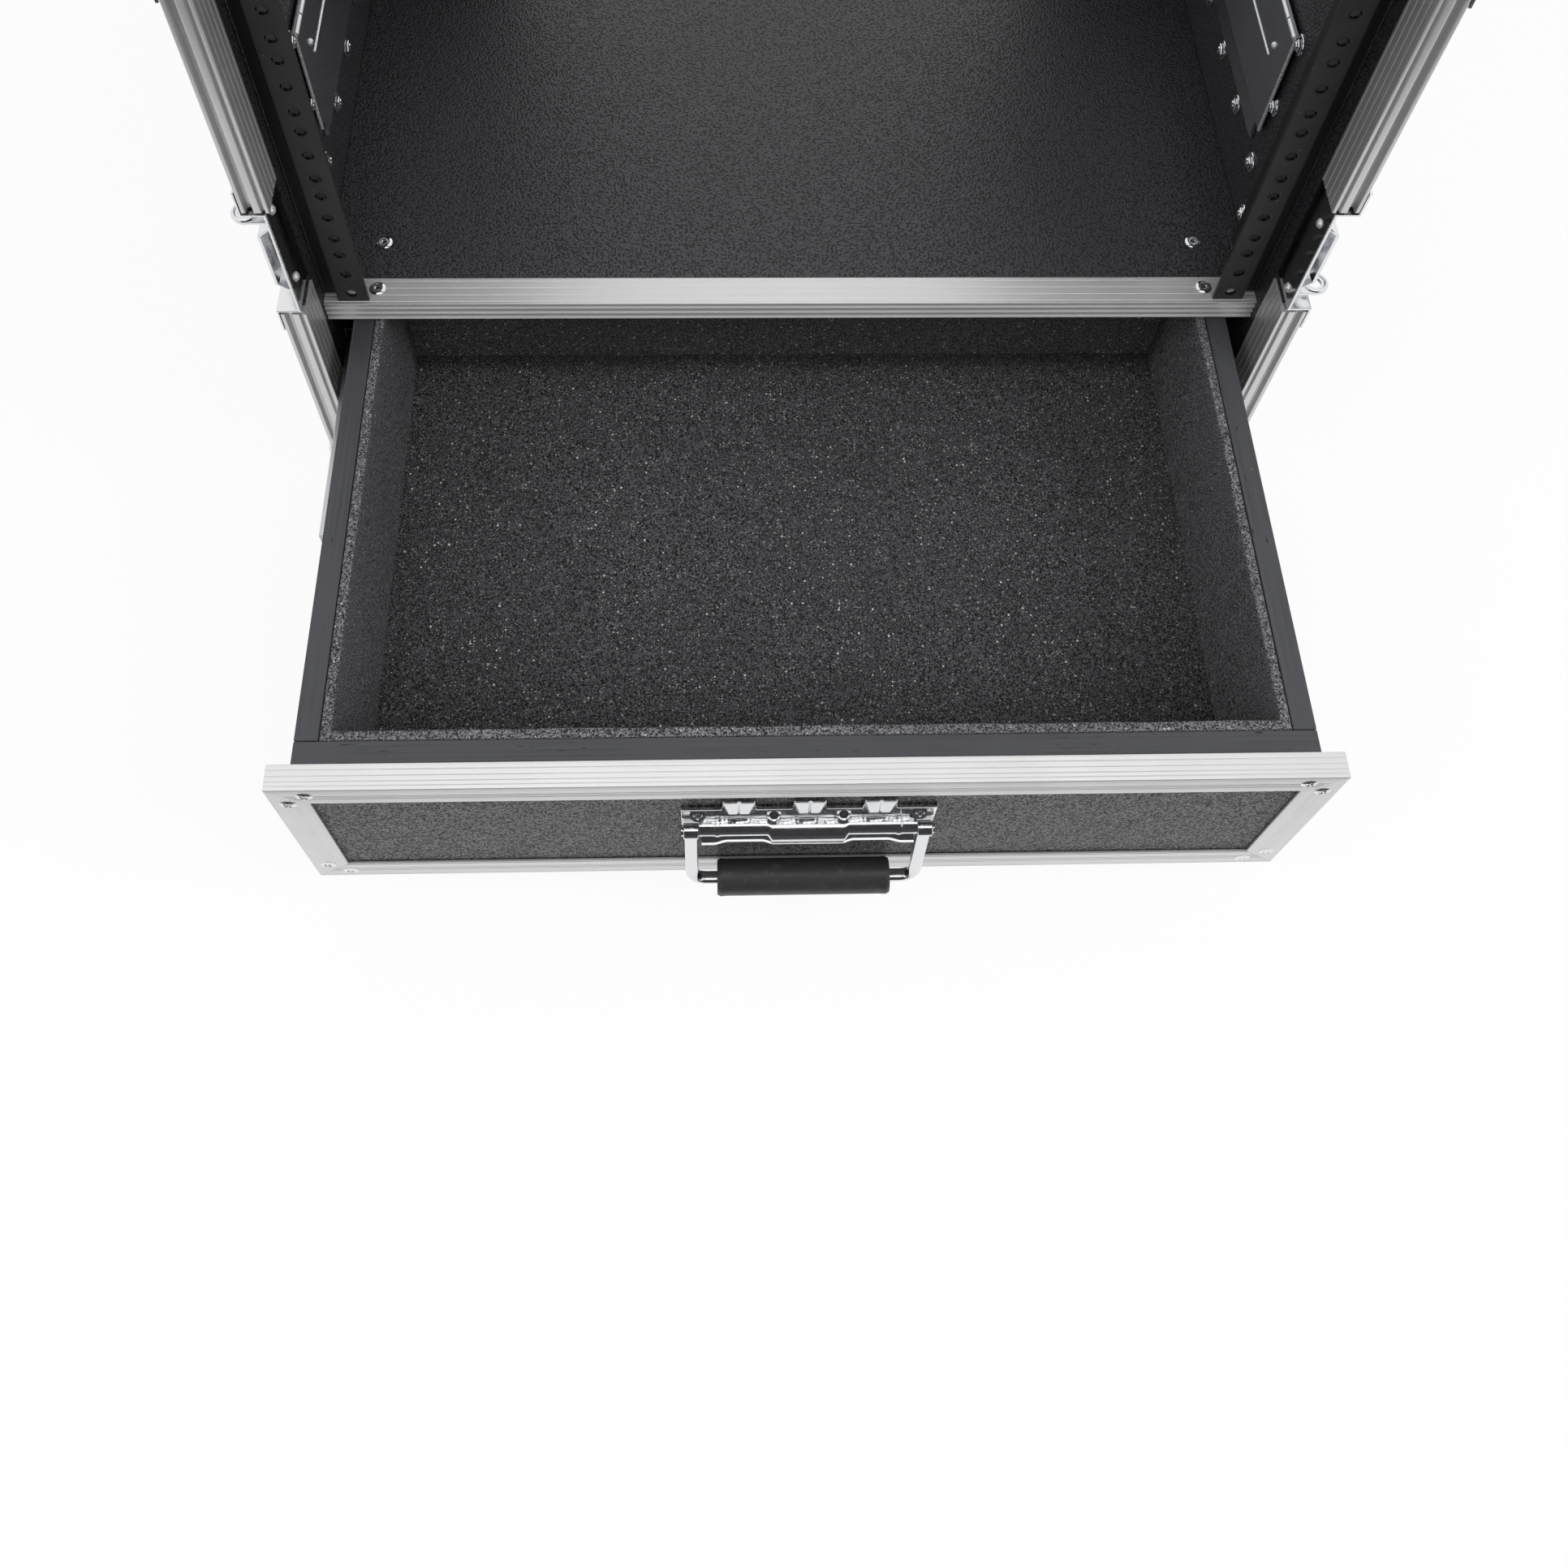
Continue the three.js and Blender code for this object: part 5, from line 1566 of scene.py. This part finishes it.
def build_lamps(stage):
    """Soft lamps: overhead, in front, at both sides, and two small ones that light the bay's shelf."""
    drawer = (0.0, -0.25, 0.1)
    wall_gap = 4 * MM
    bay_back = box("back_panel")[0][1] - wall_gap
    bay_roof = box("top_panel")[0][2] - wall_gap
    lamps = (
        ("Overhead Lamp", stage.key, (2.2, 2.2), (0.0, -0.1, 2.3), (0.0, -0.1, 0.0), True),
        ("Front Lamp", stage.fill, (1.5, 1.5), (0.0, -1.9, 1.95), drawer, False),
        ("Right Lamp", stage.right, (1.2, 1.2), (1.7, -0.9, 1.7), drawer, False),
        ("Left Lamp", stage.left, (1.2, 1.2), (-1.7, -0.9, 1.7), drawer, False),
        ("Bay Lamp", stage.bay, (0.34, 0.26), (0.0, bay_back, 0.285), (0.0, -0.2, 0.285), True),
        ("Bay Roof Lamp", stage.roof, (0.34, 0.28), (0.0, 0.01, bay_roof), (0.0, 0.01, 0.0), True),
    )
    for name, power, width, place, target, in_gloss in lamps:
        light = bpy.data.lights.new(name, "AREA")
        light.shape = "RECTANGLE"
        light.energy = power
        light.size, light.size_y = width
        lamp = bpy.data.objects.new(name, light)
        lamp.location = place
        aim = mathutils.Vector(target) - mathutils.Vector(place)
        lamp.rotation_euler = aim.to_track_quat("-Z", "Y").to_euler()
        lamp.visible_glossy = in_gloss
        lamp.visible_camera = False
        bpy.context.scene.collection.objects.link(lamp)


def build_stage():
    """Camera, surround, floor, dark cards and lamps."""
    stage = bpy.context.scene.road_case_stage
    bpy.context.scene.view_settings.view_transform = "Standard"
    build_camera(stage)
    build_surround(stage)
    card_lift = 1 * MM
    ground = cad_box[0][2] + card_lift
    dark_card("Front Card", (-1.7, ground), (-1.7, 1.2))
    dark_card("Ground Card", (-1.7, ground), (-0.53, ground))
    dark_card("Canopy Card", (-1.7, 1.2), (-1.05, 1.95))
    build_lamps(stage)


# Operators

class ROADCASE_OT_stage(bpy.types.Operator):
    """Adds the camera, the lamps, the surround and the floor"""
    bl_idname = "road_case.stage"
    bl_label = "Stage"

    def execute(self, context):
        build_stage()
        return {"FINISHED"}


class ROADCASE_OT_finishes(bpy.types.Operator):
    """Makes the materials and the shader groups that they share"""
    bl_idname = "road_case.finishes"
    bl_label = "Finishes"

    def execute(self, context):
        build_groups()
        build_finishes()
        return {"FINISHED"}


class ROADCASE_OT_panels(bpy.types.Operator):
    """Finishes the panels and the shelf"""
    bl_idname = "road_case.panels"
    bl_label = "Panels"

    def execute(self, context):
        build_panels()
        return {"FINISHED"}


class ROADCASE_OT_edging(bpy.types.Operator):
    """Adds the front extrusions, the edge angles and the back's frame"""
    bl_idname = "road_case.edging"
    bl_label = "Edging"

    def execute(self, context):
        build_front_extrusions()
        build_edge_angles()
        return {"FINISHED"}


class ROADCASE_OT_shelf_strip(bpy.types.Operator):
    """Adds the ribbed strip on the shelf's edge"""
    bl_idname = "road_case.shelf_strip"
    bl_label = "Shelf strip"

    def execute(self, context):
        build_shelf_strip()
        return {"FINISHED"}


class ROADCASE_OT_rails(bpy.types.Operator):
    """Adds the drilled rack rails and their threads"""
    bl_idname = "road_case.rails"
    bl_label = "Rack rails"

    def execute(self, context):
        build_rails()
        return {"FINISHED"}


class ROADCASE_OT_pressings(bpy.types.Operator):
    """Adds the corners, the latches and the handle dishes"""
    bl_idname = "road_case.pressings"
    bl_label = "Corners, latches, dishes"

    def execute(self, context):
        build_pressings()
        build_latch_details()
        build_dish_pans()
        return {"FINISHED"}


class ROADCASE_OT_side_handles(bpy.types.Operator):
    """Adds the side handles' bails and grips"""
    bl_idname = "road_case.side_handles"
    bl_label = "Side handles"

    def execute(self, context):
        build_side_handles()
        return {"FINISHED"}


class ROADCASE_OT_runners(bpy.types.Operator):
    """Adds the drawer runners"""
    bl_idname = "road_case.runners"
    bl_label = "Runners"

    def execute(self, context):
        build_runners()
        return {"FINISHED"}


class ROADCASE_OT_boards(bpy.types.Operator):
    """Adds the drawer boards and the rail battens"""
    bl_idname = "road_case.boards"
    bl_label = "Boards"

    def execute(self, context):
        build_boards()
        return {"FINISHED"}


class ROADCASE_OT_foam(bpy.types.Operator):
    """Adds the foam lining"""
    bl_idname = "road_case.foam"
    bl_label = "Foam"

    def execute(self, context):
        build_foam()
        return {"FINISHED"}


class ROADCASE_OT_drawer_frame(bpy.types.Operator):
    """Adds the frame round the drawer front"""
    bl_idname = "road_case.drawer_frame"
    bl_label = "Drawer frame"

    def execute(self, context):
        build_drawer_frame()
        return {"FINISHED"}


class ROADCASE_OT_drawer_handle(bpy.types.Operator):
    """Adds the drawer's handle"""
    bl_idname = "road_case.drawer_handle"
    bl_label = "Drawer handle"

    def execute(self, context):
        build_drawer_handle()
        return {"FINISHED"}


class ROADCASE_OT_fasteners(bpy.types.Operator):
    """Adds the bolts, rivets and screws"""
    bl_idname = "road_case.fasteners"
    bl_label = "Fasteners"

    def execute(self, context):
        build_handle_bolts()
        build_shelf_rivets()
        build_frame_screws()
        return {"FINISHED"}


STEPS = (
    ROADCASE_OT_stage, ROADCASE_OT_finishes, ROADCASE_OT_panels, ROADCASE_OT_edging,
    ROADCASE_OT_shelf_strip, ROADCASE_OT_rails, ROADCASE_OT_pressings, ROADCASE_OT_side_handles,
    ROADCASE_OT_runners, ROADCASE_OT_boards, ROADCASE_OT_foam, ROADCASE_OT_drawer_frame,
    ROADCASE_OT_drawer_handle, ROADCASE_OT_fasteners,
)


class ROADCASE_PT_steps(bpy.types.Panel):
    """Lists the building steps and their settings"""
    bl_label = "Road Case"
    bl_space_type = "VIEW_3D"
    bl_region_type = "UI"
    bl_category = "Road Case"

    def draw(self, context):
        for operator in STEPS:
            self.layout.operator(operator.bl_idname)
        for name, group in SETTINGS.items():
            column = self.layout.box().column()
            for setting in group.__annotations__:
                column.prop(getattr(context.scene, name), setting)


def register():
    for name, group in SETTINGS.items():
        bpy.utils.register_class(group)
        setattr(bpy.types.Scene, name, bpy.props.PointerProperty(type=group))
    for operator in STEPS:
        bpy.utils.register_class(operator)
    bpy.utils.register_class(ROADCASE_PT_steps)


def unregister():
    bpy.utils.unregister_class(ROADCASE_PT_steps)
    for operator in reversed(STEPS):
        bpy.utils.unregister_class(operator)
    for name, group in SETTINGS.items():
        delattr(bpy.types.Scene, name)
        bpy.utils.unregister_class(group)


def main():
    """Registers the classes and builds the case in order."""
    register()
    bpy.ops.road_case.stage()
    bpy.ops.road_case.finishes()
    bpy.ops.road_case.panels()
    bpy.ops.road_case.edging()
    bpy.ops.road_case.shelf_strip()
    bpy.ops.road_case.rails()
    bpy.ops.road_case.pressings()
    bpy.ops.road_case.side_handles()
    bpy.ops.road_case.runners()
    bpy.ops.road_case.boards()
    bpy.ops.road_case.foam()
    bpy.ops.road_case.drawer_frame()
    bpy.ops.road_case.drawer_handle()
    bpy.ops.road_case.fasteners()


if __name__ == "__main__":
    main()
